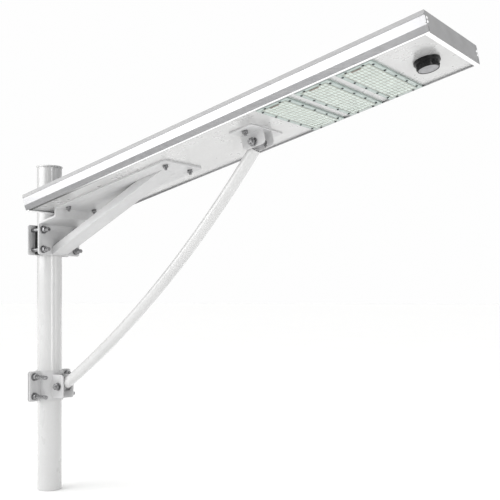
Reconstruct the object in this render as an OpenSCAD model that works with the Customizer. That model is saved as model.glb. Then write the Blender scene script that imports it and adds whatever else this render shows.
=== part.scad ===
// Solar street lamp on a section of its pole: a long shallow aluminium lamp,
// tilted up, held by a folded bracket, a clamp and a bowed strut.
// X runs from the pole towards the lamp's outer end, Z is up, Y is across.
// The origin is on the pole's axis at the lower end of the pole section.

/* [Pole] */
// Outside diameter of the pole
pole_d = 76; // [76:1:80]
// Wall of the pole tube
pole_wall = 3; // [2:0.5:5]
// Length of the pole tube that is included
pole_len = 1004; // [960:1:1400]
// Thickness of the rim of the cap on the pole
cap_rim_t = 6; // [3:1:12]
// How far the cap's rim stands out from the pole, all round
cap_rim_out = 2.5; // [0:0.5:6]

/* [Lamp body] */
// Upward tilt of the lamp, in degrees
lamp_tilt = 13; // [10:0.5:14]
// Height on the pole's axis of the line of the lamp's underside
lamp_z = 837; // [836:1:842]
// Distance from the pole's axis to the lamp, along the lamp
lamp_start = 68; // [64:1:72]
// Length of the lamp
lamp_len = 1300; // [1280:1:1400]
// Height of the lamp body
lamp_h = 50; // [50:1:60]
// Half the width of the lamp at its widest
lamp_half_w = 153; // [153:1:160]
// Depth of the recess under the lamp
recess = 4; // [3:1:5]
// Thickness of the sheet that closes the underside
sheet_t = 2; // [1:0.5:2]
// Thickness of the end caps
end_cap_t = 11; // [8:1:14]

/* [Lights] */
// Size of a light module along the lamp
module_u = 90; // [84:1:92]
// Size of a light module across the lamp
module_v = 274; // [260:1:274]
// Distance from one module to the next
module_pitch = 112; // [100:1:112]
// Distance of the first module's middle from the pole's axis
module_first = 955; // [950:1:960]
// Diameter of the sensor's rim
sensor_d = 62; // [50:1:64]
// Distance of the sensor from the pole's axis
sensor_u = 1297; // [1290:1:1300]

/* [Bracket and clamps] */
// Thickness of the bracket's folded plate
bracket_t = 5; // [4:0.5:5]
// Width of the bracket's folded plate
bracket_w = 164; // [160:1:170]
// Far end of the bracket under the lamp
bracket_end = 565; // [560:1:580]
// Height of the middle of the upper clamp
upper_clamp_z = 775; // [774:1:776]
// Height of the middle of the lower clamp
lower_clamp_z = 325; // [320:1:330]
// Height of a clamp half
clamp_h = 92; // [88:1:96]
// Width over the ears that take the clamp bolts
clamp_w = 164; // [160:1:168]
// Clamp sheet thickness
clamp_t = 4; // [3:0.5:4]
// Distance between clamp bolts across the pole
clamp_bolt_y = 130; // [128:1:136]
// Distance between clamp bolts up the pole
clamp_bolt_z = 60; // [50:1:62]
// Diameter of the clamp and pivot bolts
clamp_bolt_d = 12; // [10:1:12]
// Diameter of the bolts through the lamp's underside
lamp_bolt_d = 8; // [6:1:8]

/* [Strut] */
// Outside diameter of the strut tube
strut_d = 32; // [28:1:32]
// Wall of the strut tube
strut_wall = 2.5; // [2:0.5:3]
// How far the strut bows out from a straight line
strut_bow = 42; // [30:1:50]
// Distance of the strut's upper pivot along the lamp
strut_u = 814; // [806:1:820]
// Drop of the upper pivot below the lamp's lower edge
strut_drop = 25; // [24:1:26]
// Distance of the lower pivot from the pole's axis
strut_foot_x = 65; // [64:1:68]

/* [Hidden] */
$fn = 64;

// Clearances
slip = 0.3;          // between parts that slide past each other
run = 0.05;          // a pin in its bore, and a thread in its nut

// Pole
pole_r = pole_d / 2;
pole_bore_r = pole_r - pole_wall;
grip_r = pole_r + slip;              // inside of a clamp half
plug_len = 35;                       // the cap's plug inside the pole
plug_wall = 2.5;
groove_z = pole_len - plug_len - 1;  // the cap snaps into this groove in the pole's bore
groove_h = 5;
groove_r = pole_bore_r + 1;
bead_h = 2.5;
bead_r = pole_bore_r + 0.7;

// Lamp: u runs along it, v across it, w up from the lower edge of its rails
lamp_end = lamp_start + lamp_len;
rail_from = lamp_start + end_cap_t;
rail_to = lamp_end - end_cap_t;
half_w = lamp_half_w;
sheet_half_w = half_w - 11.4;        // edge of the underside sheet, in its groove
sheet_top = recess + sheet_t;
lip_in = half_w - 14;                // inner edge of a rail's lower lip
panel_top = lamp_h - 2;              // glass lies under the rails' upper lips
glass_t = 3.2;
cells_t = 1.3;
panel_half_w = half_w - 7.5;
panel_gap = 0.5;

// Screws through the end caps
cap_screw_v = half_w - 8;
cap_screw_w = [33, 24.5];
cap_screw_r = 1.75;
cap_screw_head_r = 3.3;
cap_screw_len = 26;

// Light modules
module_us = [for (i = [0:2]) module_first + i * module_pitch];
lens_t = 5;                          // the lens plate stands 1 below the rails
lens_low = recess - lens_t;
window_u = 66;
window_v = 248;
board_t = 1.6;
led_rows = 7;
led_cols = 8;
module_screw_r = 1.5;
module_screw_head_r = 3;
module_screw_pts = concat(
    [for (s = [-1, 1], k = [-2:2]) [s * (module_u / 2 - 5.5), k * 57]],
    [for (s = [-1, 1], t = [-1, 1]) [t * 22, s * (module_v / 2 - 6)]]
);
sink_base = 4;
sink_h = 28;
sink_fins = 12;

// Bolts: shank radius, nut across flats, nut height, washer radius, washer thickness
cb_r = clamp_bolt_d / 2;
cb_af = 18;
cb_nut_h = 10;
cb_washer_r = 12;
cb_washer_t = 2.5;
cb_head_h = 7.5;
lb_r = lamp_bolt_d / 2;
lb_af = 13;
lb_nut_h = 6.5;
lb_washer_r = 8;
lb_washer_t = 1.6;
lb_head_h = 4;
lb_tail = 6;                         // thread that shows past a nut
hole_play = 0.4;

// Bracket
plate_front = pole_r + 8.5;
plate_back = plate_front - bracket_t;
plate_low = upper_clamp_z - clamp_h / 2;
plate_high = upper_clamp_z + clamp_h / 2;
neck_x = 120.6;                      // where the neck steps up to the lamp
neck_z = plate_high + 17;
step_u = 125;                        // where the step meets the lamp
bracket_under = recess - bracket_t;  // w of the plate's lower face on the lamp
bracket_bolt_u = [147, 540];
bracket_bolt_v = 52;
brace_foot_z = plate_low + 2;
brace_top_u = 508;
brace_w = 60;
brace_h = 22;
brace_t = 4;
brace_over = 60;                     // spare length that the end cuts remove

// Clamp halves
ear_gap = 3;                         // gap between the bolted ears
shell_out = grip_r + clamp_t;
front_ear_x = ear_gap / 2 + clamp_t;

// Clevis plates that hold the strut
clevis_t = 4;
clevis_gap = 36;
clevis_u = [779, 849];
clevis_drop = 38;
clevis_plate_half_v = 72;
foot_ear_x = 86;
foot_ear_h = 72;
corner_r = 10;

// Strut
eye_half = clevis_gap / 2 - 1;       // half the width of the strut's eyes
eye_r = 15;
tube_back = 17;                      // the tube starts this far from a pivot
spigot_len = 44;
top_pivot = lamp_xz(strut_u, -strut_drop);
low_pivot = [strut_foot_x, lower_clamp_z];
chord = low_pivot - top_pivot;
chord_len = norm(chord);
bow_dir = [-chord[1], chord[0]] / chord_len;
bow_r = (chord_len * chord_len / 4 + strut_bow * strut_bow) / (2 * strut_bow);
bow_centre = (top_pivot + low_pivot) / 2 - bow_dir * (bow_r - strut_bow);
top_angle = angle_of(top_pivot - bow_centre);
low_angle = angle_of(low_pivot - bow_centre);
back_angle = tube_back / bow_r * 180 / PI;

// Colours
painted = "gainsboro";
alloy = "silver";
steel = "darkgray";

function angle_of(p) = atan2(p[1], p[0]);
// X and Z of a point u along the lamp and w above its lower edge
function lamp_xz(u, w) = [
    u * cos(lamp_tilt) - w * sin(lamp_tilt),
    lamp_z + u * sin(lamp_tilt) + w * cos(lamp_tilt)
];

// ---- Helpers ---------------------------------------------------------------

module at_lamp() {
    translate([0, 0, lamp_z]) rotate([0, -lamp_tilt, 0]) children();
}

// Extrudes an outline in v and w along u
module along_u(from, to) {
    translate([from, 0, 0]) rotate([90, 0, 90]) linear_extrude(to - from) children();
}

module rod_x(x0, x1, y, z, r) {
    translate([x0, y, z]) rotate([0, 90, 0]) cylinder(r = r, h = x1 - x0);
}

module rod_y(x, z, half, r) {
    translate([x, -half, z]) rotate([-90, 0, 0]) cylinder(r = r, h = 2 * half);
}

module box(x0, x1, y0, y1, z0, z1) {
    translate([x0, y0, z0]) cube([x1 - x0, y1 - y0, z1 - z0]);
}

module ring(r_in, r_out, h) {
    difference() {
        cylinder(r = r_out, h = h);
        translate([0, 0, -1]) cylinder(r = r_in, h = h + 2);
    }
}

module hex(af, h) {
    cylinder(r = af / 2 / cos(30), h = h, $fn = 6);
}

module hex_nut(af, h, r) {
    difference() {
        hex(af, h);
        translate([0, 0, -1]) cylinder(r = r + run, h = h + 2);
    }
}

// A flat plate with two rounded corners along its far edge x = len
module tongue(len, width, thick, r) {
    linear_extrude(thick) {
        translate([0, -width / 2]) square([len - r, width]);
        translate([0, -width / 2 + r]) square([len, width - 2 * r]);
        for (s = [-1, 1]) translate([len - r, s * (width / 2 - r)]) circle(r = r);
    }
}

module each_clamp_bolt(mid_z) {
    for (y = [-1, 1] * clamp_bolt_y / 2, z = [-1, 1] * clamp_bolt_z / 2)
        translate([0, y, mid_z + z]) rotate([0, 90, 0]) children();
}

module each_lamp_bolt() {
    at_lamp() {
        for (u = bracket_bolt_u, s = [-1, 1])
            translate([u, s * bracket_bolt_v, bracket_under]) children();
        for (s = [-1, 1])
            translate([strut_u, s * bracket_bolt_v, recess - clevis_t]) children();
    }
}

// ---- Pole ------------------------------------------------------------------

module pole_tube() {
    color("whitesmoke") difference() {
        ring(pole_bore_r, pole_r, pole_len);
        translate([0, 0, groove_z]) cylinder(r = groove_r, h = groove_h);
    }
}

module pole_cap() {
    color("whitesmoke") {
        translate([0, 0, pole_len]) cylinder(r = pole_r + cap_rim_out, h = cap_rim_t);
        translate([0, 0, pole_len - plug_len])
            ring(pole_bore_r - slip - plug_wall, pole_bore_r - slip, plug_len + 1);
        translate([0, 0, groove_z + (groove_h - bead_h) / 2])
            ring(pole_bore_r - slip - plug_wall, bead_r, bead_h);
    }
}

// ---- Lamp body -------------------------------------------------------------

// Outside of the lamp's cross-section, on the +v side
function rail_outside() = [
    [half_w - 9, 0], [half_w - 7, 2], [half_w - 3, 17.5], [half_w - 1, lamp_h - 11.5],
    [half_w, lamp_h - 10.5], [half_w - 2, lamp_h]
];

module rail_profile() {
    difference() {
        union() {
            polygon(concat(rail_outside(), [
                [half_w - 13, lamp_h], [half_w - 13, panel_top], [half_w - 7, panel_top],
                [half_w - 7, panel_top - glass_t - cells_t],
                [half_w - 13, panel_top - glass_t - cells_t], [half_w - 13, lamp_h - 9],
                [half_w - 4, lamp_h - 9], [half_w - 6, 18], [half_w - 9, sheet_top + 3.5],
                [lip_in, sheet_top + 3.5], [lip_in, sheet_top + 0.2],
                [half_w - 11, sheet_top + 0.2], [half_w - 11, recess], [lip_in, recess], [lip_in, 0]
            ]));
            for (w = cap_screw_w) translate([cap_screw_v, w]) circle(r = 4.2);
        }
        for (w = cap_screw_w) translate([cap_screw_v, w]) circle(r = cap_screw_r + run);
    }
}

module side_rail_far() {
    color(alloy) at_lamp() along_u(rail_from, rail_to) rail_profile();
}

module side_rail_near() {
    color(alloy) at_lamp() along_u(rail_from, rail_to) mirror([1, 0]) rail_profile();
}

module end_outline() {
    right = rail_outside();
    left = [for (i = [len(right) - 1:-1:0]) [-right[i][0], right[i][1]]];
    polygon(concat(right, left));
}

module each_cap_screw() {
    for (s = [-1, 1], w = cap_screw_w) translate([0, s * cap_screw_v, w]) rotate([0, 90, 0]) children();
}

// Seam grooves near the side edges of a cap's outer face, at u = face
module cap_seams(face, depth) {
    for (s = [-1, 1]) translate([face, s * (half_w + 12), 29]) rotate([0, 90, 0]) difference() {
        cylinder(r = 17.4, h = 2 * depth, center = true);
        cylinder(r = 16, h = 3 * depth, center = true);
        translate([-30, s > 0 ? -2 : -38, -10]) cube([60, 40, 20]);
    }
    for (s = [-1, 1]) translate([face, s * (half_w - 9), 9]) rotate([s * 12, 0, 0])
        cube([2 * depth, 1.6, 13], center = true);
}

module end_cap_inner() {
    color("darkgray") at_lamp() difference() {
        along_u(lamp_start, rail_from) end_outline();
        translate([lamp_start - 1, 0, 0]) each_cap_screw() cylinder(r = cap_screw_r + hole_play, h = 20);
        cap_seams(lamp_start, 1.5);
    }
}

module end_cap_outer() {
    color("darkgray") at_lamp() difference() {
        along_u(rail_to, lamp_end) end_outline();
        translate([rail_to - 1, 0, 0]) each_cap_screw() cylinder(r = cap_screw_r + hole_play, h = 20);
        cap_seams(lamp_end, 1.5);
    }
}

module cap_screw() {
    cylinder(r = cap_screw_r, h = cap_screw_len);
    translate([0, 0, -1.8]) cylinder(r = cap_screw_head_r, h = 1.8);
}

module end_cap_screws() {
    color(steel) at_lamp() {
        translate([lamp_start, 0, 0]) each_cap_screw() cap_screw();
        translate([lamp_end, 0, 0]) each_cap_screw() mirror([0, 0, 1]) cap_screw();
    }
}

module each_module_screw() {
    for (m = module_us, p = module_screw_pts) translate([m + p[0], p[1], lens_low]) children();
}

module base_sheet() {
    color(painted) at_lamp() difference() {
        box(rail_from, rail_to, -sheet_half_w, sheet_half_w, recess, sheet_top);
        for (m = module_us)
            box(m - window_u / 2, m + window_u / 2, -window_v / 2, window_v / 2, 0, 10);
        each_module_screw() cylinder(r = module_screw_r + hole_play, h = 20);
        for (u = bracket_bolt_u, s = [-1, 1])
            translate([u, s * bracket_bolt_v, -10]) cylinder(r = lb_r + hole_play, h = 30);
        for (s = [-1, 1])
            translate([strut_u, s * bracket_bolt_v, -10]) cylinder(r = lb_r + hole_play, h = 30);
        translate([sensor_u, 0, -10]) cylinder(r = 9.5, h = 30);
    }
}

module solar_glass() {
    color("midnightblue") at_lamp()
        box(rail_from + panel_gap, rail_to - panel_gap, -panel_half_w, panel_half_w,
            panel_top - glass_t, panel_top - 0.1);
}

module solar_cells() {
    color("navy") at_lamp()
        box(rail_from + panel_gap, rail_to - panel_gap, -panel_half_w, panel_half_w,
            panel_top - glass_t - cells_t + 0.1, panel_top - glass_t);
}

// ---- Light modules ---------------------------------------------------------

module led_lens(mid) {
    color("honeydew") at_lamp() difference() {
        box(mid - module_u / 2, mid + module_u / 2, -module_v / 2, module_v / 2, lens_low, recess);
        box(mid - window_u / 2, mid + window_u / 2, -window_v / 2, window_v / 2, lens_low + 2.5, 10);
        for (p = module_screw_pts) translate([mid + p[0], p[1], -10])
            cylinder(r = module_screw_r + hole_play, h = 30);
    }
}

module led_board(mid) {
    gap = 0.5;
    du = window_u / (led_rows + 1);
    dv = window_v / (led_cols + 1);
    color("white") at_lamp() {
        box(mid - window_u / 2 + gap, mid + window_u / 2 - gap,
            -window_v / 2 + gap, window_v / 2 - gap, sheet_top - board_t, sheet_top);
        for (i = [1:led_rows], j = [1:led_cols])
            translate([mid - window_u / 2 + i * du, -window_v / 2 + j * dv, sheet_top - board_t - 0.3])
                cube([3, 3, 1.4], center = true);
    }
}

module heat_sink(mid) {
    fin_t = 2;
    span = module_u - 8;
    step = (span - fin_t) / (sink_fins - 1);
    color(alloy) at_lamp() difference() {
        union() {
            box(mid - span / 2, mid + span / 2, -module_v / 2 + 2, module_v / 2 - 2,
                sheet_top, sheet_top + sink_base);
            for (i = [0:sink_fins - 1])
                translate([mid - span / 2 + i * step, -module_v / 2 + 2, sheet_top])
                    cube([fin_t, module_v - 4, sink_h]);
        }
        for (p = module_screw_pts) translate([mid + p[0], p[1], sheet_top - 1])
            cylinder(r = module_screw_r + run, h = sink_base + 1);
    }
}

module led_lens_1() { led_lens(module_us[0]); }
module led_lens_2() { led_lens(module_us[1]); }
module led_lens_3() { led_lens(module_us[2]); }
module led_board_1() { led_board(module_us[0]); }
module led_board_2() { led_board(module_us[1]); }
module led_board_3() { led_board(module_us[2]); }
module heat_sink_1() { heat_sink(module_us[0]); }
module heat_sink_2() { heat_sink(module_us[1]); }
module heat_sink_3() { heat_sink(module_us[2]); }

module module_screws() {
    color(steel) at_lamp() each_module_screw() {
        cylinder(r = module_screw_r, h = lens_t + sheet_t + sink_base - 1.5);
        translate([0, 0, -1.6]) cylinder(r = module_screw_head_r, h = 1.6);
    }
}

// ---- Motion sensor ---------------------------------------------------------

sensor_rim_low = recess - 5;
sensor_low = recess - 22;

module sensor_body() {
    color("black") at_lamp() translate([sensor_u, 0, 0]) difference() {
        rotate_extrude() polygon([
            [0, sensor_low], [sensor_d / 2 - 6, sensor_low], [sensor_d / 2 - 3.5, sensor_rim_low - 2],
            [sensor_d / 2 - 1, sensor_rim_low], [sensor_d / 2, sensor_rim_low + 1.5],
            [sensor_d / 2, recess], [9, recess], [9, sheet_top + 12], [0, sheet_top + 12]
        ]);
        translate([0, 0, sensor_low - 1]) cylinder(r = sensor_d / 2 - 8, h = 5);
    }
}

module sensor_lens() {
    color("dimgray") at_lamp() translate([sensor_u, 0, sensor_low + 1.2])
        cylinder(r = sensor_d / 2 - 8.2, h = 2.8);
}

module sensor_nut() {
    color("dimgray") at_lamp() translate([sensor_u, 0, sheet_top]) hex_nut(28, 6, 9);
}

// ---- Battery, controller and wiring ---------------------------------------

tray_u = [186, 506];
tray_half_v = 112;
cell_r = 16;
cell_len = 70;
cell_pitch = 33;
cell_w = sheet_top + 1.5 + slip + cell_r;
cell_us = [for (i = [0:7]) (tray_u[0] + tray_u[1]) / 2 + (i - 3.5) * cell_pitch];

module battery_tray() {
    color("dimgray") at_lamp() difference() {
        box(tray_u[0], tray_u[1], -tray_half_v, tray_half_v, sheet_top, sheet_top + 20);
        box(tray_u[0] + 2, tray_u[1] - 2, -tray_half_v + 2, tray_half_v - 2, sheet_top + 1.5, 60);
    }
}

module battery_cells() {
    color("steelblue") at_lamp() for (u = cell_us, v = [-1, 0, 1])
        translate([u, v * (cell_len + 2) - cell_len / 2, cell_w]) rotate([-90, 0, 0]) {
            cylinder(r = cell_r, h = cell_len - 2);
            cylinder(r = 5, h = cell_len);
        }
}

module battery_straps() {
    top = cell_w + cell_r + slip;
    color("black") at_lamp() for (v = [-36, 36]) {
        box(tray_u[0] - 2, tray_u[1] + 2, v - 8, v + 8, top, top + 1.5);
        for (u = [tray_u[0] - 2, tray_u[1] + 0.1])
            box(u, u + 1.9, v - 8, v + 8, sheet_top, top + 0.5);
    }
}

controller_u = [610, 730];

module controller_case() {
    color("darkslategray") at_lamp() difference() {
        box(controller_u[0], controller_u[1], -40, 40, sheet_top, sheet_top + 30);
        box(controller_u[0] + 2, controller_u[1] - 2, -38, 38, sheet_top + 2, sheet_top + 28);
        rod_x(controller_u[0] - 5, controller_u[0] + 5, 0, 22, 3.6);
        rod_x(controller_u[1] - 5, controller_u[1] + 5, 0, 22, 3.6);
    }
}

module controller_board() {
    color("green") at_lamp() {
        box(controller_u[0] + 6, controller_u[1] - 6, -34, 34, sheet_top + 5, sheet_top + 6.6);
        for (u = [0, 24, 48]) translate([controller_u[0] + 30 + u, 20, sheet_top + 6])
            cylinder(r = 6, h = 14);
        box(controller_u[0] + 30, controller_u[0] + 60, -26, -6, sheet_top + 6, sheet_top + 12);
    }
}

// A bundle of leads: battery to controller, then over the heat sinks to the sensor
module wiring_loom() {
    loom_r = 3;
    over_w = sheet_top + sink_h + 4;
    color("crimson") at_lamp() {
        rod_x(tray_u[1] + 6, controller_u[0] + 1, 0, 22, loom_r);
        rod_x(controller_u[1] - 1, 780, 0, 22, loom_r);
        translate([780, 0, 22]) sphere(r = loom_r);
        translate([780, 0, 22]) cylinder(r = loom_r, h = over_w - 22);
        translate([780, 0, over_w]) sphere(r = loom_r);
        rod_x(780, sensor_u, 0, over_w, loom_r);
        translate([sensor_u, 0, over_w]) sphere(r = loom_r);
        translate([sensor_u, 0, sheet_top + 12]) cylinder(r = loom_r, h = over_w - sheet_top - 12);
    }
}

// ---- Bracket ---------------------------------------------------------------

// One sheet, folded: against the pole, out along the neck, up a step, along the lamp
module bracket_plate() {
    lap = 10;
    flat_from = step_u + lap;
    color(painted) difference() {
        union() {
            translate([plate_back, 0, plate_high]) rotate([0, 90, 0])
                tongue(clamp_h, bracket_w, bracket_t, 8);
            rotate([90, 0, 0]) linear_extrude(bracket_w, center = true) polygon([
                [plate_front, plate_high - lap], [plate_front, plate_high], [neck_x, neck_z],
                lamp_xz(step_u, bracket_under), lamp_xz(flat_from, bracket_under),
                lamp_xz(flat_from, recess), lamp_xz(step_u - bracket_t * 1.1, recess),
                [neck_x - bracket_t, neck_z + bracket_t],
                [plate_back, plate_high + bracket_t], [plate_back, plate_high - lap]
            ]);
            at_lamp() translate([step_u + lap / 2, 0, bracket_under])
                tongue(bracket_end - step_u - lap / 2, bracket_w, bracket_t, 12);
        }
        each_clamp_bolt(upper_clamp_z) cylinder(r = cb_r + hole_play, h = 100);
        at_lamp() for (u = bracket_bolt_u, s = [-1, 1])
            translate([u, s * bracket_bolt_v, -20]) cylinder(r = lb_r + hole_play, h = 40);
    }
}

// Two ribs welded behind the plate, cut to sit on the pole
module bracket_saddles() {
    color(painted) for (z = [-1, 1] * (clamp_h / 2 - 9)) difference() {
        box(ear_gap / 2 + 3, plate_back, -50, 50, upper_clamp_z + z - 2.5, upper_clamp_z + z + 2.5);
        cylinder(r = grip_r, h = pole_len);
    }
}

// Channel with its back downwards, from the foot of the plate to the lamp
module bracket_brace() {
    top = lamp_xz(brace_top_u, bracket_under);
    foot = [plate_front, brace_foot_z];
    run_len = norm(top - foot);
    rise = angle_of(top - foot);
    color(painted) difference() {
        translate([foot[0], 0, foot[1]]) rotate([0, -rise, 0]) difference() {
            box(-brace_over, run_len + brace_over, -brace_w / 2, brace_w / 2, 0, brace_h);
            box(-brace_over - 1, run_len + brace_over + 1, -brace_w / 2 + brace_t,
                brace_w / 2 - brace_t, brace_t, brace_h + 1);
        }
        box(-200, plate_front, -60, 60, 500, 1100);
        at_lamp() box(300, 900, -60, 60, bracket_under, 300);
    }
}

// ---- Clamps ----------------------------------------------------------------

// Half of a clamp, on the -X side of the pole
module clamp_half(mid_z) {
    difference() {
        union() {
            difference() {
                translate([0, 0, mid_z - clamp_h / 2]) cylinder(r = shell_out, h = clamp_h);
                box(-ear_gap / 2, 100, -100, 100, mid_z - 100, mid_z + 100);
            }
            translate([-ear_gap / 2 - clamp_t, 0, mid_z]) rotate([0, 90, 0]) for (s = [0, 1])
                mirror([0, s, 0]) translate([0, grip_r, 0]) rotate([0, 0, 90])
                    tongue(clamp_w / 2 - grip_r, clamp_h, clamp_t, 7);
        }
        translate([0, 0, mid_z - 100]) cylinder(r = grip_r, h = 200);
        each_clamp_bolt(mid_z) translate([0, 0, -50]) cylinder(r = cb_r + hole_play, h = 60);
    }
}

module upper_clamp_rear() {
    color(painted) clamp_half(upper_clamp_z);
}

module lower_clamp_rear() {
    color(painted) clamp_half(lower_clamp_z);
}

module lower_clamp_front() {
    color(painted) mirror([1, 0, 0]) clamp_half(lower_clamp_z);
}

// A hex bolt with its head behind the rear half and its tail at x = tip
module clamp_bolt(tip) {
    translate([0, 0, -ear_gap / 2 - clamp_t - cb_head_h]) hex(cb_af, cb_head_h);
    translate([0, 0, -ear_gap / 2 - clamp_t - 1]) cylinder(r = cb_r, h = tip + ear_gap / 2 + clamp_t + 1);
}

module clamp_nut(face) {
    translate([0, 0, face + cb_washer_t]) hex_nut(cb_af, cb_nut_h, cb_r);
}

module clamp_washer(face) {
    translate([0, 0, face]) ring(cb_r + run, cb_washer_r, cb_washer_t);
}

module upper_clamp_bolts() {
    color(steel) each_clamp_bolt(upper_clamp_z) clamp_bolt(plate_front + 27);
}
module upper_clamp_nuts() {
    color(steel) each_clamp_bolt(upper_clamp_z) clamp_nut(plate_front);
}
module upper_clamp_washers() {
    color(steel) each_clamp_bolt(upper_clamp_z) clamp_washer(plate_front);
}
module lower_clamp_bolts() {
    color(steel) each_clamp_bolt(lower_clamp_z) clamp_bolt(62);
}
module lower_clamp_nuts() {
    color(steel) each_clamp_bolt(lower_clamp_z) clamp_nut(front_ear_x);
}
module lower_clamp_washers() {
    color(steel) each_clamp_bolt(lower_clamp_z) clamp_washer(front_ear_x);
}

// Two plates welded to the front half, which hold the strut's foot
module lower_clamp_ears() {
    color(painted) for (s = [-1, 1]) difference() {
        translate([0, s * (clevis_gap + clevis_t) / 2 + clevis_t / 2, lower_clamp_z]) rotate([90, 0, 0])
            tongue(foot_ear_x, foot_ear_h, clevis_t, corner_r);
        translate([0, 0, lower_clamp_z - 60]) cylinder(r = shell_out, h = 120);
        rod_y(low_pivot[0], low_pivot[1], 60, cb_r + hole_play);
    }
}

// ---- Bolts through the lamp ------------------------------------------------

// Each has its head inside the lamp, and its nut below the bracket or clevis
module lamp_bolts() {
    tail = lb_washer_t + lb_nut_h + lb_tail;
    color(steel) each_lamp_bolt() {
        translate([0, 0, -tail]) cylinder(r = lb_r, h = tail + bracket_t + sheet_t + 0.5);
        translate([0, 0, bracket_t + sheet_t]) cylinder(r = lb_r * 2, h = lb_head_h);
    }
}

module lamp_nuts() {
    color(steel) each_lamp_bolt()
        translate([0, 0, -lb_washer_t - lb_nut_h]) hex_nut(lb_af, lb_nut_h, lb_r);
}

module lamp_washers() {
    color(steel) each_lamp_bolt()
        translate([0, 0, -lb_washer_t]) ring(lb_r + run, lb_washer_r, lb_washer_t);
}

// ---- Strut and its pivots --------------------------------------------------

module strut_clevis() {
    color(painted) difference() {
        at_lamp() {
            translate([clevis_u[0], 0, recess - clevis_t])
                linear_extrude(clevis_t) translate([0, -clevis_plate_half_v])
                    square([clevis_u[1] - clevis_u[0], 2 * clevis_plate_half_v]);
            for (s = [-1, 1])
                translate([(clevis_u[0] + clevis_u[1]) / 2, s * (clevis_gap + clevis_t) / 2 + clevis_t / 2,
                    recess - clevis_t + 1]) rotate([90, 90, 0])
                    tongue(clevis_drop + 1, clevis_u[1] - clevis_u[0], clevis_t, corner_r);
        }
        at_lamp() for (s = [-1, 1])
            translate([strut_u, s * bracket_bolt_v, -10]) cylinder(r = lb_r + hole_play, h = 30);
        rod_y(top_pivot[0], top_pivot[1], 60, cb_r + hole_play);
    }
}

// A pivot bolt across a clevis: its head is on the +Y side and its nut on the -Y side
pivot_out = clevis_gap / 2 + clevis_t;

module pivot_bolt(p) {
    translate([p[0], -pivot_out - cb_washer_t - cb_nut_h - 6, p[1]]) rotate([-90, 0, 0])
        cylinder(r = cb_r, h = 2 * pivot_out + 2 * cb_washer_t + cb_nut_h + 7);
    translate([p[0], pivot_out + cb_washer_t, p[1]]) rotate([-90, 0, 0]) hex(cb_af, cb_head_h);
}

module pivot_nut(p) {
    translate([p[0], -pivot_out - cb_washer_t - cb_nut_h, p[1]]) rotate([-90, 0, 0])
        hex_nut(cb_af, cb_nut_h, cb_r);
}

// Two washers outside the clevis plates and two thin ones inside
module pivot_washers(p) {
    thin = 0.7;
    for (y = [-pivot_out - cb_washer_t, pivot_out])
        translate([p[0], y, p[1]]) rotate([-90, 0, 0]) ring(cb_r + run, cb_washer_r, cb_washer_t);
    for (y = [-clevis_gap / 2, clevis_gap / 2 - thin])
        translate([p[0], y, p[1]]) rotate([-90, 0, 0]) ring(cb_r + run, cb_washer_r, thin);
}

module upper_pivot_bolt() { color(steel) pivot_bolt(top_pivot); }
module upper_pivot_nut() { color(steel) pivot_nut(top_pivot); }
module upper_pivot_washers() { color(steel) pivot_washers(top_pivot); }
module lower_pivot_bolt() { color(steel) pivot_bolt(low_pivot); }
module lower_pivot_nut() { color(steel) pivot_nut(low_pivot); }
module lower_pivot_washers() { color(steel) pivot_washers(low_pivot); }

module strut_tube() {
    color("whitesmoke") translate([bow_centre[0], 0, bow_centre[1]]) rotate([90, 0, 0])
        rotate([0, 0, low_angle + back_angle])
            rotate_extrude(angle = top_angle - low_angle - 2 * back_angle, $fn = 720)
                translate([bow_r, 0]) difference() {
                    circle(r = strut_d / 2);
                    circle(r = strut_d / 2 - strut_wall);
                }
}

// An eye with a spigot that is welded into the tube; the spigot points along dir
module strut_eye(p, dir) {
    rod_y(p[0], p[1], eye_half, eye_r);
    translate([p[0], 0, p[1]]) rotate([0, 90 - dir, 0])
        cylinder(r = strut_d / 2 - strut_wall - 0.5, h = spigot_len);
}

module strut_upper_eye() {
    color(steel) difference() {
        strut_eye(top_pivot, top_angle - 90);
        rod_y(top_pivot[0], top_pivot[1], 60, cb_r + run);
    }
}

// The lower eye is open on the pole's side, so that the strut hooks over its bolt
module strut_lower_eye() {
    color(steel) difference() {
        strut_eye(low_pivot, low_angle + 90);
        rod_y(low_pivot[0], low_pivot[1], 60, cb_r + slip);
        translate([low_pivot[0], 0, low_pivot[1]]) rotate([0, -angle_of(-bow_dir), 0])
            box(0, 40, -40, 40, -cb_r - slip, cb_r + slip);
    }
}

// ---- Drawing ---------------------------------------------------------------

pole_tube();
pole_cap();
side_rail_near();
side_rail_far();
end_cap_inner();
end_cap_outer();
end_cap_screws();
base_sheet();
solar_glass();
solar_cells();
led_lens_1();
led_lens_2();
led_lens_3();
led_board_1();
led_board_2();
led_board_3();
heat_sink_1();
heat_sink_2();
heat_sink_3();
module_screws();
sensor_body();
sensor_lens();
sensor_nut();
battery_tray();
battery_cells();
battery_straps();
controller_case();
controller_board();
wiring_loom();
bracket_plate();
bracket_saddles();
bracket_brace();
upper_clamp_rear();
upper_clamp_bolts();
upper_clamp_nuts();
upper_clamp_washers();
lamp_bolts();
lamp_nuts();
lamp_washers();
strut_clevis();
upper_pivot_bolt();
upper_pivot_nut();
upper_pivot_washers();
strut_tube();
strut_upper_eye();
strut_lower_eye();
lower_clamp_front();
lower_clamp_ears();
lower_clamp_rear();
lower_clamp_bolts();
lower_clamp_nuts();
lower_clamp_washers();
lower_pivot_bolt();
lower_pivot_nut();
lower_pivot_washers();
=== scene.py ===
# %% [markdown]
# # A solar street lamp on its pole
# The object is a long, shallow lamp body, tilted up, that a folded bracket and a bowed strut hold on a
# steel pole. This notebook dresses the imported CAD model: it sets the camera and the light, mixes one
# finish for each material, and models the visible pieces again with rounded edges, bends, threads and
# lenses. The CAD model stays the measure of everything, so it is loaded first and never changed.

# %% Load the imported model
import math

import bmesh
import bpy
from mathutils import Matrix, Vector


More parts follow.
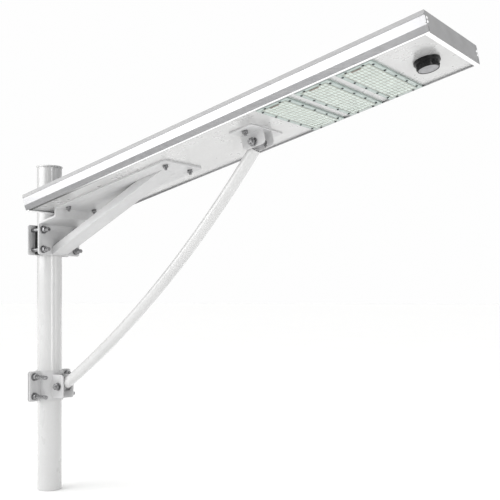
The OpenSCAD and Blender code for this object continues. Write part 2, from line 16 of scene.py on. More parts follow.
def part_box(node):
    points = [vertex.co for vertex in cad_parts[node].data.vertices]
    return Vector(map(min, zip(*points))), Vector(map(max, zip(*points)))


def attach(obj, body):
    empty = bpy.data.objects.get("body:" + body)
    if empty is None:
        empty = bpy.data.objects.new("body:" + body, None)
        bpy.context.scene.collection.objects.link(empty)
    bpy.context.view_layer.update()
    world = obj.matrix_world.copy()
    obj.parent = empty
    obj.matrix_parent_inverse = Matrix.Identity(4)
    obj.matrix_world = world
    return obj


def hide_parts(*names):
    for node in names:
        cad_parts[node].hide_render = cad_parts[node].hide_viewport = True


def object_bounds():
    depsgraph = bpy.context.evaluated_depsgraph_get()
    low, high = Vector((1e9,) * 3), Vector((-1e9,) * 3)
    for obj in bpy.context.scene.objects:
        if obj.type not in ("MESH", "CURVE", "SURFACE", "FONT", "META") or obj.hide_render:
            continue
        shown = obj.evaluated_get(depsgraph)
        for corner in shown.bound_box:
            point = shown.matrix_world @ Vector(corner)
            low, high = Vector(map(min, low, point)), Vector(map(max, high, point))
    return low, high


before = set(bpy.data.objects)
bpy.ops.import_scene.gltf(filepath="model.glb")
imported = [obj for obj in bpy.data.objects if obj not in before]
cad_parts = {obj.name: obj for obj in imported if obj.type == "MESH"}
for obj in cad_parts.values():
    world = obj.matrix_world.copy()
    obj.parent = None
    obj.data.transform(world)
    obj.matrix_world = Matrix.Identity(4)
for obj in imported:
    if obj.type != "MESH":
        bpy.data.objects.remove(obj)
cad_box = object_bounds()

print("CAD box:", cad_box)

# %% [markdown]
# ## The camera
# A buyer's view of a street lamp is from below and in front, at about half the height of the pole
# section. The camera is level, so the pole stays upright, and the lens is a short telephoto. A small
# upward shift keeps both the lamp and the foot of the pole in the frame without tilting the camera.

# %% Camera
CAMERA_PLACE = (2.0347, -1.7694, 0.591)
CAMERA_HEADING = math.radians(125.5)      # from +X towards +Y
bpy.ops.object.camera_add(
    location=CAMERA_PLACE, rotation=(math.radians(90), 0, CAMERA_HEADING - math.radians(90)))
camera = bpy.context.object
camera.name = "street_view_camera"
camera.data.sensor_width = 36
camera.data.lens = 60.18
camera.data.shift_y = 0.1
camera.data.clip_end = 500
bpy.context.scene.camera = camera
print("camera at", CAMERA_PLACE, "lens", camera.data.lens, "mm")

# %% [markdown]
# ## The studio
# A white object on white needs light that comes mostly from one side, or its edges vanish. One large
# soft box stands to the left at the lamp's height: the wide facet of the side rail mirrors it and goes
# white, while the facet below mirrors the floor and stays grey. Two narrow strips, in front and to the
# right, draw thin highlights down the round tubes. The sky is a soft gradient, and one wide overhead
# light keeps the floor pale. The camera itself sees plain white behind the object.

# %% Studio helpers
def deselect():
    """An operator acts on all that is selected, so each step starts from nothing."""
    bpy.ops.object.select_all(action="DESELECT")


def soft_box(name, place, target, size_x, size_y, watts, tint=(1, 1, 1)):
    """A rectangular light that faces the target, and that the camera doesn't see."""
    deselect()
    bpy.ops.object.light_add(type="AREA", location=place)
    light = bpy.context.object
    light.name = name
    light.rotation_euler = (Vector(target) - Vector(place)).to_track_quat("-Z", "Y").to_euler()
    light.data.shape = "RECTANGLE"
    light.data.size = size_x
    light.data.size_y = size_y
    light.data.energy = watts
    light.data.color = tint
    light.visible_camera = False
    return light


# %% Soft boxes and overhead light
LAMP_MIDDLE = (0.7, 0, 1.0)
soft_box("left_soft_box", (-1.35, -2.9, 1.55), LAMP_MIDDLE, 3.6, 1.5, 62)
soft_box("right_strip", (3.4, 1.2, 1.3), LAMP_MIDDLE, 0.8, 2.4, 8)
soft_box("front_strip", (3.1, -1.1, 0.6), (0, 0, 0.6), 0.45, 2.2, 20)
deselect()
bpy.ops.object.light_add(type="SUN", location=(0, 0, 3), rotation=(math.radians(12), math.radians(-8), 0))
overhead = bpy.context.object
overhead.name = "overhead_diffuser"
overhead.data.energy = 1.5
overhead.data.angle = math.radians(80)

# %% Sky
world = bpy.data.worlds.new("white_studio")
bpy.context.scene.world = world
world.use_nodes = True
sky = world.node_tree
sky.nodes.clear()
place_on_sky = sky.nodes.new("ShaderNodeTexCoord")
height = sky.nodes.new("ShaderNodeSeparateXYZ")
bands = sky.nodes.new("ShaderNodeValToRGB")
bands.color_ramp.elements[0].position = 0.0
bands.color_ramp.elements[0].color = (0.62, 0.62, 0.62, 1)
bands.color_ramp.elements[1].position = 1.0
bands.color_ramp.elements[1].color = (0.8, 0.8, 0.8, 1)
middle = bands.color_ramp.elements.new(0.35)
middle.color = (0.46, 0.46, 0.46, 1)
lighting = sky.nodes.new("ShaderNodeBackground")
lighting.inputs["Strength"].default_value = 1.0
backdrop = sky.nodes.new("ShaderNodeBackground")
backdrop.inputs["Color"].default_value = (0.99, 0.99, 0.99, 1)
ray_kind = sky.nodes.new("ShaderNodeLightPath")
choose = sky.nodes.new("ShaderNodeMixShader")
sky_out = sky.nodes.new("ShaderNodeOutputWorld")
sky.links.new(place_on_sky.outputs["Generated"], height.inputs[0])
sky.links.new(height.outputs["Z"], bands.inputs["Fac"])
sky.links.new(bands.outputs["Color"], lighting.inputs["Color"])
sky.links.new(ray_kind.outputs["Is Camera Ray"], choose.inputs["Fac"])
sky.links.new(lighting.outputs[0], choose.inputs[1])
sky.links.new(backdrop.outputs[0], choose.inputs[2])
sky.links.new(choose.outputs[0], sky_out.inputs["Surface"])
bpy.context.scene.view_settings.view_transform = "Standard"
print("sky bands:", len(bands.color_ramp.elements))

# %% Floor
FLOOR_SIZE = 240
deselect()
bpy.ops.mesh.primitive_plane_add(size=FLOOR_SIZE, location=(0, 0, cad_box[0][2] - 0.0005))
floor = bpy.context.object
floor.name = "studio_floor"
print("floor at", round(floor.location.z, 4))

# %% [markdown]
# ## Finishes
# Every finish is a node material that reads Object coordinates, so it sits still on its piece. A clean
# factory finish isn't one flat colour: powder coat has orange peel and a slow drift of tone, drawn
# aluminium has fine lines along the profile, zinc has a spangle, and moulded plastic has a fine grain.
# One short helper makes the pattern that each of them needs.

# %% Helpers for finishes
def new_finish(name, colour, roughness, metallic=0.0):
    """A Principled material with its plain values set on the shader's own sockets."""
    material = bpy.data.materials.new(name)
    material.use_nodes = True
    shader = material.node_tree.nodes["Principled BSDF"]
    shader.inputs["Base Color"].default_value = (*colour, 1)
    shader.inputs["Roughness"].default_value = roughness
    shader.inputs["Metallic"].default_value = metallic
    material.diffuse_color = (*colour, 1)
    return material


def placed(tree, stretch=(1, 1, 1), turn=(0, 0, 0)):
    """Object coordinates, turned and stretched."""
    coordinates = tree.nodes.new("ShaderNodeTexCoord")
    mapping = tree.nodes.new("ShaderNodeMapping")
    mapping.inputs["Rotation"].default_value = turn
    mapping.inputs["Scale"].default_value = stretch
    tree.links.new(coordinates.outputs["Object"], mapping.inputs["Vector"])
    return mapping.outputs["Vector"]


def noise(tree, scale, detail=3.0, rough=0.55, stretch=(1, 1, 1), turn=(0, 0, 0)):
    """A cloudy pattern; scale is in features per metre."""
    node = tree.nodes.new("ShaderNodeTexNoise")
    node.inputs["Scale"].default_value = scale
    node.inputs["Detail"].default_value = detail
    node.inputs["Roughness"].default_value = rough
    tree.links.new(placed(tree, stretch, turn), node.inputs["Vector"])
    return node.outputs["Fac"]


def ramp(tree, value, low, high, from_colour, to_colour):
    """Turns a pattern into a colour between two colours."""
    node = tree.nodes.new("ShaderNodeValToRGB")
    node.color_ramp.elements[0].position = low
    node.color_ramp.elements[0].color = (*from_colour, 1)
    node.color_ramp.elements[1].position = high
    node.color_ramp.elements[1].color = (*to_colour, 1)
    tree.links.new(value, node.inputs["Fac"])
    return node.outputs["Color"]


def spread(tree, value, low, high, to_low, to_high):
    """Turns a pattern into a number between two numbers."""
    node = tree.nodes.new("ShaderNodeMapRange")
    for socket, number in zip(("From Min", "From Max", "To Min", "To Max"), (low, high, to_low, to_high)):
        node.inputs[socket].default_value = number
    tree.links.new(value, node.inputs["Value"])
    return node.outputs["Result"]


def blend_colours(tree, how, amount, first, second):
    """Mixes two colours; amount is a number or a pattern."""
    node = tree.nodes.new("ShaderNodeMix")
    node.data_type = "RGBA"
    node.blend_type = how
    if isinstance(amount, (int, float)):
        node.inputs["Factor"].default_value = amount
    else:
        tree.links.new(amount, node.inputs["Factor"])
    tree.links.new(first, node.inputs["A"])
    tree.links.new(second, node.inputs["B"])
    return node.outputs["Result"]


def relief(tree, shader, *layers):
    """Stacks bumps, each (pattern, depth in metres), under the shader's normal."""
    before = None
    for pattern, depth in layers:
        bump = tree.nodes.new("ShaderNodeBump")
        bump.inputs["Strength"].default_value = 1.0
        bump.inputs["Distance"].default_value = depth
        tree.links.new(pattern, bump.inputs["Height"])
        if before:
            tree.links.new(before, bump.inputs["Normal"])
        before = bump.outputs["Normal"]
    tree.links.new(before, shader.inputs["Normal"])


def shade(colour, factor):
    """The colour, lighter or darker."""
    return tuple(min(1.0, c * factor) for c in colour)


# %% [markdown]
# ### Powder coat
# The pole, the strut, the bracket and the clamps are steel with a baked powder coat. Its skin has orange
# peel, a waviness of about a millimetre, and a faint drift of tone from the spray. Handling leaves a few
# dull smears, which show only in the gloss.

# %% Powder coat
def powder_coat(name, colour, roughness, drift=0.04, peel=0.000004, coat=0.12, metal=0.0, coat_rough=0.13):
    material = new_finish(name, colour, roughness)
    tree = material.node_tree
    shader = tree.nodes["Principled BSDF"]
    clouds = noise(tree, 7, 4, 0.6)
    base = ramp(tree, clouds, 0.3, 0.72, shade(colour, 1 - drift), shade(colour, 1 + drift))
    dust = ramp(tree, noise(tree, 260, 3, 0.6), 0.35, 0.75, (1, 1, 1), (0.93, 0.93, 0.92))
    tree.links.new(blend_colours(tree, "MULTIPLY", 0.6, base, dust), shader.inputs["Base Color"])
    smears = noise(tree, 16, 3, 0.65, (1, 1, 0.35))
    tree.links.new(spread(tree, smears, 0.35, 0.7, roughness - 0.05, roughness + 0.08),
                   shader.inputs["Roughness"])
    shader.inputs["Metallic"].default_value = metal
    shader.inputs["Coat Weight"].default_value = coat
    shader.inputs["Coat Roughness"].default_value = coat_rough
    relief(tree, shader, (noise(tree, 600, 2, 0.5), peel), (noise(tree, 90, 2, 0.5), peel * 3))
    return material


painted_pole = powder_coat("painted_pole", (0.57, 0.57, 0.57), 0.3, coat=1.0, coat_rough=0.10)
painted_strut = powder_coat("painted_strut", (0.58, 0.58, 0.58), 0.30, coat=0.6)
bracket_paint = powder_coat("bracket_paint", (0.54, 0.54, 0.545), 0.42, 0.05)
base_paint = powder_coat("base_paint", (0.60, 0.60, 0.60), 0.3, 0.03, 0.0000015, 0.3, 0.4)
print("powder coats:", [m.name for m in (painted_pole, painted_strut, bracket_paint, base_paint)])

# %% [markdown]
# ### Drawn aluminium
# The side rails are extruded through a die, which leaves fine lines along their whole length, and then
# anodised, which dulls the mirror a little. The lines are a noise stretched about eighty times along the
# rail. The lamp is tilted, so the pattern is turned by the same angle to follow it.

# %% Drawn and cast aluminium
LAMP_TILT = math.radians(13)


def drawn_alloy(name, colour, roughness):
    material = new_finish(name, colour, roughness, 1.0)
    tree = material.node_tree
    shader = tree.nodes["Principled BSDF"]
    along = (0, LAMP_TILT, 0)
    lines = noise(tree, 900, 2, 0.6, (0.012, 1, 1), along)
    broad = noise(tree, 60, 2, 0.5, (0.02, 1, 1), along)
    base = ramp(tree, lines, 0.3, 0.7, shade(colour, 0.9), shade(colour, 1.08))
    tone = ramp(tree, broad, 0.35, 0.65, (0.94, 0.94, 0.95), (1, 1, 1))
    tree.links.new(blend_colours(tree, "MULTIPLY", 1.0, base, tone), shader.inputs["Base Color"])
    tree.links.new(spread(tree, lines, 0.3, 0.7, roughness - 0.04, roughness + 0.05),
                   shader.inputs["Roughness"])
    relief(tree, shader, (lines, 0.000006))
    return material


def cast_alloy(name, colour, roughness):
    material = new_finish(name, colour, roughness, 0.85)
    tree = material.node_tree
    shader = tree.nodes["Principled BSDF"]
    skin = noise(tree, 420, 4, 0.65)
    flow = noise(tree, 22, 3, 0.55)
    base = ramp(tree, flow, 0.3, 0.7, shade(colour, 0.93), shade(colour, 1.05))
    grit = ramp(tree, skin, 0.35, 0.7, (0.9, 0.9, 0.9), (1, 1, 1))
    tree.links.new(blend_colours(tree, "MULTIPLY", 1.0, base, grit), shader.inputs["Base Color"])
    tree.links.new(spread(tree, skin, 0.3, 0.7, roughness - 0.05, roughness + 0.1),
                   shader.inputs["Roughness"])
    relief(tree, shader, (skin, 0.00002))
    return material


rail_alloy = drawn_alloy("rail_alloy", (0.33, 0.33, 0.335), 0.22)
sink_alloy = drawn_alloy("sink_alloy", (0.5, 0.5, 0.51), 0.35)
cap_alloy = cast_alloy("cap_alloy", (0.5, 0.5, 0.505), 0.42)
print("aluminium:", rail_alloy.name, sink_alloy.name, cap_alloy.name)

# %% [markdown]
# ### Zinc-plated steel
# Bolts, nuts, washers and screws are zinc plated. The plating is bright but never a clean mirror: it
# has a fine spangle, and dull marks where a spanner has turned it. Small cells from a Voronoi pattern
# make the spangle, and a soft noise makes the marks.

# %% Zinc-plated steel
def zinc_plate(name, colour, roughness):
    material = new_finish(name, colour, roughness, 1.0)
    tree = material.node_tree
    shader = tree.nodes["Principled BSDF"]
    spangle = tree.nodes.new("ShaderNodeTexVoronoi")
    spangle.inputs["Scale"].default_value = 420
    tree.links.new(placed(tree), spangle.inputs["Vector"])
    grey = tree.nodes.new("ShaderNodeRGBToBW")
    tree.links.new(spangle.outputs["Color"], grey.inputs["Color"])
    base = ramp(tree, grey.outputs["Val"], 0.2, 0.85, shade(colour, 0.85), shade(colour, 1.12))
    marks = noise(tree, 160, 4, 0.6)
    worn = ramp(tree, marks, 0.5, 0.75, (1, 1, 1), (0.72, 0.72, 0.74))
    tree.links.new(blend_colours(tree, "MULTIPLY", 1.0, base, worn), shader.inputs["Base Color"])
    tree.links.new(spread(tree, marks, 0.35, 0.7, roughness - 0.05, roughness + 0.14),
                   shader.inputs["Roughness"])
    relief(tree, shader, (marks, 0.00001))
    return material


zinc_steel = zinc_plate("zinc_steel", (0.30, 0.30, 0.305), 0.26)
print("plated steel:", zinc_steel.name)

# %% [markdown]
# ### Plastics
# The lens plates are clear acrylic that looks pale green where it is thick and where the lenses bend the
# light of the white boards behind. A little transmission is enough. The sensor is
# black ABS with a fine moulded grain, and its window is grey polyethylene, which lets heat rays through.

# %% Plastics
def moulded_plastic(name, colour, roughness, grain=0.00001, scale=900, clear=0.0, shine=0.5):
    material = new_finish(name, colour, roughness)
    tree = material.node_tree
    shader = tree.nodes["Principled BSDF"]
    cloud = noise(tree, 55, 3, 0.5)
    fine = noise(tree, scale, 2, 0.5)
    tree.links.new(ramp(tree, cloud, 0.3, 0.7, shade(colour, 0.9), shade(colour, 1.1)),
                   shader.inputs["Base Color"])
    tree.links.new(spread(tree, fine, 0.3, 0.7, max(0.03, roughness - 0.06), roughness + 0.08),
                   shader.inputs["Roughness"])
    shader.inputs["Transmission Weight"].default_value = clear
    shader.inputs["Specular IOR Level"].default_value = shine
    shader.inputs["IOR"].default_value = 1.49
    relief(tree, shader, (fine, grain))
    return material


lens_plastic = moulded_plastic("lens_plastic", (0.60, 0.67, 0.63), 0.16, 0.000003, 500, 0.1)
sensor_plastic = moulded_plastic("sensor_plastic", (0.004, 0.004, 0.0045), 0.26, shine=0.22)
sensor_window = moulded_plastic("sensor_window", (0.30, 0.30, 0.31), 0.42, 0.00001)
case_plastic = moulded_plastic("case_plastic", (0.09, 0.09, 0.095), 0.5)
wire = moulded_plastic("wire", (0.28, 0.02, 0.02), 0.45, 0.00001)
battery_cell = moulded_plastic("battery_cell", (0.05, 0.16, 0.36), 0.32, 0.000008)
print("plastics:", lens_plastic.name, sensor_plastic.name, sensor_window.name, case_plastic.name)

# %% [markdown]
# ### Solar panel and boards
# Monocrystalline silicon is dark blue with a faint cloud from crystal to crystal, and it is printed with
# silver fingers about 2 mm apart, which a wave pattern draws. The glass over it is low-iron and lightly
# stippled so that it doesn't glare. The light boards are white solder mask.

# %% Solar panel and boards
def silicon(name):
    colour = (0.012, 0.02, 0.055)
    material = new_finish(name, colour, 0.22)
    tree = material.node_tree
    shader = tree.nodes["Principled BSDF"]
    fingers = tree.nodes.new("ShaderNodeTexWave")
    fingers.wave_type = "BANDS"
    fingers.bands_direction = "X"
    fingers.inputs["Scale"].default_value = 80
    tree.links.new(placed(tree, turn=(0, LAMP_TILT, 0)), fingers.inputs["Vector"])
    crystal = ramp(tree, noise(tree, 14, 2, 0.5), 0.35, 0.65, shade(colour, 0.7), shade(colour, 1.6))
    printed = ramp(tree, fingers.outputs["Fac"], 0.90, 0.97, (0, 0, 0), (0.16, 0.17, 0.2))
    tree.links.new(blend_colours(tree, "ADD", 1.0, crystal, printed), shader.inputs["Base Color"])
    relief(tree, shader, (fingers.outputs["Fac"], 0.00001))
    return material


def panel_glass_finish(name):
    material = new_finish(name, (0.93, 0.96, 0.95), 0.08)
    tree = material.node_tree
    shader = tree.nodes["Principled BSDF"]
    stipple = noise(tree, 700, 2, 0.5)
    tree.links.new(spread(tree, stipple, 0.3, 0.7, 0.05, 0.14), shader.inputs["Roughness"])
    shader.inputs["Transmission Weight"].default_value = 1.0
    shader.inputs["IOR"].default_value = 1.5
    relief(tree, shader, (stipple, 0.000008))
    return material


def circuit_board(name):
    colour = (0.80, 0.81, 0.78)
    material = new_finish(name, colour, 0.4)
    tree = material.node_tree
    shader = tree.nodes["Principled BSDF"]
    tracks = noise(tree, 240, 1, 0.3, (1, 0.2, 1))
    tree.links.new(ramp(tree, tracks, 0.46, 0.5, colour, shade(colour, 0.82)), shader.inputs["Base Color"])
    relief(tree, shader, (tracks, 0.00003))
    return material


panel_glass = panel_glass_finish("panel_glass")
solar_cell = silicon("solar_cell")
led_board = circuit_board("led_board")
print("panel:", panel_glass.name, solar_cell.name, "boards:", led_board.name)

# %% Floor finish
floor_finish = new_finish("pale_studio_floor", (0.9, 0.9, 0.9), 0.85)
floor_tree = floor_finish.node_tree
floor_tree.links.new(
    ramp(floor_tree, noise(floor_tree, 1.5, 2, 0.5), 0.3, 0.7, (0.925, 0.925, 0.92), (0.935, 0.935, 0.93)),
    floor_tree.nodes["Principled BSDF"].inputs["Base Color"])
floor.data.materials.append(floor_finish)
print("floor:", floor_finish.name)

# %% [markdown]
# ### Finishes on the CAD nodes
# Each node that stays visible gets the finish that the table below names for it, and so do the sealed
# inner pieces, which show when the lamp is taken apart.

# %% Give every CAD node its finish
NODES_BY_FINISH = {
    painted_pole: ["pole_tube", "pole_cap"],
    painted_strut: ["strut_tube"],
    rail_alloy: ["side_rail_near", "side_rail_far"],
    cap_alloy: ["end_cap_inner", "end_cap_outer"],
    base_paint: ["base_sheet"],
    panel_glass: ["solar_glass"],
    solar_cell: ["solar_cells"],
    lens_plastic: ["led_lens_1", "led_lens_2", "led_lens_3"],
    led_board: ["led_board_1", "led_board_2", "led_board_3", "controller_board"],
    sink_alloy: ["heat_sink_1", "heat_sink_2", "heat_sink_3", "battery_tray"],
    sensor_plastic: ["sensor_body", "sensor_nut"],
    sensor_window: ["sensor_lens"],
    battery_cell: ["battery_cells"],
    case_plastic: ["controller_case", "battery_straps"],
    wire: ["wiring_loom"],
    bracket_paint: ["bracket_plate", "bracket_saddles", "bracket_brace", "upper_clamp_rear", "strut_clevis",
                    "lower_clamp_front", "lower_clamp_rear", "lower_clamp_ears"],
    zinc_steel: ["end_cap_screws", "module_screws", "upper_clamp_bolts", "upper_clamp_nuts",
                 "upper_clamp_washers", "lamp_bolts", "lamp_nuts", "lamp_washers", "upper_pivot_bolt",
                 "upper_pivot_nut", "upper_pivot_washers", "strut_upper_eye", "strut_lower_eye",
                 "lower_clamp_bolts", "lower_clamp_nuts", "lower_clamp_washers", "lower_pivot_bolt",
                 "lower_pivot_nut", "lower_pivot_washers"],
}


def give(obj, finish):
    """Puts one finish in every slot of the piece."""
    if not obj.material_slots:
        obj.data.materials.append(finish)
    for slot in obj.material_slots:
        slot.material = finish


for finish, names in NODES_BY_FINISH.items():
    for name in names:
        give(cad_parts[name], finish)
undressed = set(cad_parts) - {n for names in NODES_BY_FINISH.values() for n in names}
print("nodes without a finish:", sorted(undressed))


# %% [markdown]
# ## Shaping helpers
# Everything below is made as by hand: a primitive or a single vertex is added at its place, shaped in
# edit mode, and finished with modifiers that are applied. An operator works on whatever is selected, so
# each helper first clears the selection and then picks faces or edges by their place or direction.
# Pieces of the tilted lamp are drawn level, in the lamp's own directions (u along, v across, w up from
# the lower edge of the rails), and are then laid on the tilt.

# %% Edit-mode helpers
MM = 0.001
LAMP = Matrix.Translation((0, 0, 0.837)) @ Matrix.Rotation(-LAMP_TILT, 4, "Y")


def only(*pieces):
    """Selects just these pieces; the first one is active."""
    if bpy.context.object and bpy.context.object.mode == "EDIT":
        bpy.ops.object.mode_set(mode="OBJECT")
    deselect()
    for piece in pieces:
        piece.select_set(True)
    bpy.context.view_layer.objects.active = pieces[0]


def edit(piece, everything=True):
    only(piece)
    bpy.ops.object.mode_set(mode="EDIT")
    bpy.ops.mesh.select_mode(type="VERT")
    bpy.ops.mesh.select_all(action="SELECT" if everything else "DESELECT")


def leave_edit():
    bpy.ops.object.mode_set(mode="OBJECT")


def pick_faces(piece, test):
    """Selects the faces whose centre and normal pass the test."""
    edit(piece, False)
    bpy.ops.mesh.select_mode(type="FACE")
    mesh = bmesh.from_edit_mesh(piece.data)
    for face in mesh.faces:
        if test(face.calc_center_median(), face.normal):
            face.select_set(True)
    bmesh.update_edit_mesh(piece.data)


def settle(piece):
    """Puts the piece's place and turn into its mesh."""
    only(piece)
    bpy.ops.object.transform_apply(location=True, rotation=True, scale=True)
    return piece


def lay(piece, matrix):
    """Moves a finished piece by a matrix, and keeps its object at the origin."""
    piece.matrix_world = matrix
    return settle(piece)


def apply_all(piece):
    only(piece)
    for modifier in list(piece.modifiers):
        bpy.ops.object.modifier_apply(modifier=modifier.name)


def mend(piece):
    """Merges doubles and turns all faces outwards."""
    edit(piece)
    bpy.ops.mesh.remove_doubles(threshold=0.000005)
    bpy.ops.mesh.normals_make_consistent(inside=False)
    leave_edit()


def round_edges(piece, width, segments=2, angle=35, smooth=None):
    """Rounds every edge that is sharper than the angle, then shades smoothly below the smooth angle."""
    bevel = piece.modifiers.new("rounded_edges", "BEVEL")
    bevel.width = width * MM
    bevel.segments = segments
    bevel.limit_method = "ANGLE"
    bevel.angle_limit = math.radians(angle)
    apply_all(piece)
    only(piece)
    bpy.ops.object.shade_smooth_by_angle(angle=math.radians(smooth or angle))
    return piece


def finish_piece(piece, body, finish, *nodes):
    """Dresses a piece, ties it to its body, and hides the CAD nodes it stands for."""
    give(piece, finish)
    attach(piece, body)
    if nodes:
        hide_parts(*nodes)
    return piece


# %% Blocks, outlines and turned shapes
def block(name, low, high):
    """A box between two corners, in millimetres."""
    deselect()
    bpy.ops.mesh.primitive_cube_add(size=1, location=[(a + b) / 2 * MM for a, b in zip(low, high)])
    piece = bpy.context.object
    piece.name = name
    piece.scale = [(b - a) * MM for a, b in zip(low, high)]
    return settle(piece)


def draw_line(name, points):
    """Starts from one vertex and extrudes it from point to point, in millimetres."""
    deselect()
    bpy.ops.mesh.primitive_plane_add(size=0.01)
    piece = bpy.context.object
    piece.name = name
    edit(piece)
    bpy.ops.mesh.merge(type="CENTER")
    bpy.ops.transform.translate(value=Vector(points[0]) * MM)
    for here, there in zip(points, points[1:]):
        step = (Vector(there) - Vector(here)) * MM
        bpy.ops.mesh.extrude_vertices_move(TRANSFORM_OT_translate={"value": step})
    leave_edit()
    return piece


def lathe(name, profile, steps=48):
    """Turns a profile of (radius, height) points round Z, in millimetres. It closes on itself or the axis."""
    on_axis = profile[0][0] == 0 and profile[-1][0] == 0
    closing = [] if on_axis else [(profile[0][0], 0, profile[0][1])]
    piece = draw_line(name, [(r, 0, z) for r, z in profile] + closing)
    edit(piece)
    bpy.ops.mesh.remove_doubles(threshold=0.000001)
    bpy.ops.mesh.select_all(action="SELECT")
    bpy.ops.mesh.spin(steps=steps, angle=2 * math.pi, center=(0, 0, 0), axis=(0, 0, 1))
    leave_edit()
    mend(piece)
    only(piece)
    bpy.ops.object.shade_smooth_by_angle(angle=math.radians(35))
    return piece


def repeat(name, first, places):
    """Copies a piece to each matrix, each copy with its own mesh, joins them and drops the first."""
    made = []
    for place in places:
        only(first)
        bpy.ops.object.duplicate()
        copy = bpy.context.object
        copy.matrix_world = place
        made.append(copy)
    only(*made)
    bpy.ops.object.transform_apply(location=True, rotation=True, scale=True)
    if len(made) > 1:
        bpy.ops.object.join()
    piece = bpy.context.object
    piece.name = name
    only(first)
    bpy.ops.object.delete()
    return piece


def fill_field(piece, *rows):
    """Repeats a piece with one array modifier for each (count, step in metres), and applies them."""
    for count, step in rows:
        row = piece.modifiers.new("row", "ARRAY")
        row.count = count
        row.use_relative_offset = False
        row.use_constant_offset = True
        row.constant_offset_displace = step
    apply_all(piece)


def join(name, *pieces):
    only(*pieces)
    bpy.ops.object.join()
    pieces[0].name = name
    return pieces[0]


def soften(node, name, width, segments=2, angle=30, smooth=None):
    """A copy of a CAD node with its triangles merged back into faces and its edges rounded."""
    copy = bpy.data.objects.new(name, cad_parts[node].data.copy())
    bpy.context.scene.collection.objects.link(copy)
    copy.data.materials.clear()
    only(copy)
    bpy.ops.mesh.customdata_custom_splitnormals_clear()
    edit(copy)
    bpy.ops.mesh.remove_doubles(threshold=0.000005)
    bpy.ops.mesh.select_all(action="SELECT")
    bpy.ops.mesh.dissolve_limited(angle_limit=math.radians(0.6))
    leave_edit()
    return round_edges(copy, width, segments, angle, smooth)


print("shaping helpers are ready; the lamp is tilted", round(math.degrees(LAMP_TILT)), "degrees")

# %% [markdown]
# ## Pole and cap
# The pole is a steel tube, and its cap is a turned disc with a plug that snaps into the bore. Both are
# round, so each is one profile that spin turns about the axis. A small chamfer at the sawn ends and a
# rounded rim on the cap catch the light as a thin line.

# %% Turn the pole and its cap
POLE_R, BORE_R, POLE_TOP = 38, 35, 1004
pole = lathe("pole_section", [
    (BORE_R, 0.6), (BORE_R + 0.6, 0), (POLE_R - 0.7, 0), (POLE_R, 0.7), (POLE_R, 250), (POLE_R, 500),
    (POLE_R, 750), (POLE_R, POLE_TOP - 0.7), (POLE_R - 0.7, POLE_TOP), (BORE_R, POLE_TOP), (BORE_R, 973),
    (BORE_R + 1, 973), (BORE_R + 1, 968), (BORE_R, 968)], 96)
finish_piece(pole, "pole", painted_pole, "pole_tube")
RIM_R = 40.5
cap = lathe("pole_top_cap", [
    (0, 1010), (RIM_R - 3, 1009.7), (RIM_R - 1.2, 1009.2), (RIM_R - 0.3, 1008.2), (RIM_R, 1007),
    (RIM_R, 1005.5), (RIM_R - 0.4, 1004.4), (RIM_R - 1.2, 1004), (34.7, 1004), (34.7, 972), (35.7, 971.7),
    (35.7, 969.3), (34.7, 969), (32.2, 969), (32.2, 1003), (0, 1003)], 96)
finish_piece(cap, "pole", painted_pole, "pole_cap")
print("pole:", len(pole.data.polygons), "faces; cap:", len(cap.data.polygons), "faces")

# %% [markdown]
# ## Side rails and end caps
# The rails are extrusions, so their long edges carry a small die radius. The shape is already exact in
# the CAD model, so a copy of each rail has its triangles merged back into long faces and its edges
# rounded. The rail is one anodised extrusion, but some of its faces get painted light: the lower lip is
# painted near white as a painted highlight, with painted shade towards the pole end, and the narrow top
# lip gets a flat grey as painted shade. The end caps are castings with rounder edges; their lower rim
# sits flush with the rails and is painted near white as a painted highlight, a thin band next to the
# rails is painted black as a painted shadow in the seam, and the face is left as cast.

# %% Painted highlights and painted shade on the rail and cap trims
# The cap's lower rim is painted near white: a painted highlight.
rim_painted_highlight = drawn_alloy("rim_painted_highlight", (0.97, 0.97, 0.97), 0.5)
rim_painted_highlight.node_tree.nodes["Principled BSDF"].inputs["Metallic"].default_value = 0.15
# The lower lip is painted near white: a painted highlight. The ramps below add painted shade and a lighter
# edge.
lip_painted_highlight = drawn_alloy("lip_painted_highlight", (0.97, 0.97, 0.97), 0.5)
lip_tree = lip_painted_highlight.node_tree
lip_shader = lip_tree.nodes["Principled BSDF"]
lip_shader.inputs["Metallic"].default_value = 0.15
along_part = lip_tree.nodes.new("ShaderNodeSeparateXYZ")
lip_tree.links.new(placed(lip_tree), along_part.inputs[0])
# Painted shade: the lip darkens towards the pole end.
lip_painted_light = ramp(lip_tree, along_part.outputs["X"], 0.22, 0.42, (0.12, 0.12, 0.12), (1, 1, 1))
across = lip_tree.nodes.new("ShaderNodeMath")
across.operation = "ABSOLUTE"
lip_tree.links.new(along_part.outputs["Y"], across.inputs[0])
# Painted highlight: the lip's outer edge is lighter than its inner part.
painted_edge_highlight = ramp(lip_tree, across.outputs[0], 0.142, 0.1435, (0.5, 0.5, 0.5), (1, 1, 1))
lip_painted_light = blend_colours(lip_tree, "MULTIPLY", 1.0, lip_painted_light, painted_edge_highlight)
lip_highlight_colour = lip_shader.inputs["Base Color"].links[0].from_socket
lip_tree.links.new(blend_colours(lip_tree, "MULTIPLY", 1.0, lip_highlight_colour, lip_painted_light),
                   lip_shader.inputs["Base Color"])
# The top lip is a flat grey copy of the rail's aluminium: painted shade.
top_lip_painted_shade = drawn_alloy("top_lip_painted_shade", (0.40, 0.40, 0.40), 0.5)
top_lip_painted_shade.node_tree.nodes["Principled BSDF"].inputs["Metallic"].default_value = 0.2
# Near black for the band beside the rails: a painted shadow in the seam.
painted_seam_shadow = moulded_plastic("painted_seam_shadow", (0.03, 0.03, 0.03), 0.6)
TO_LAMP = LAMP.to_3x3().inverted()


def dress_faces(piece, finish, test):
    """Gives a finish to the faces whose centre and normal, in the lamp's directions, pass the test."""
    piece.data.materials.append(finish)
    slot_number = len(piece.data.materials) - 1
    from_part = LAMP.inverted()
    for face in piece.data.polygons:
        if test(from_part @ face.center, TO_LAMP @ face.normal):
            face.material_index = slot_number


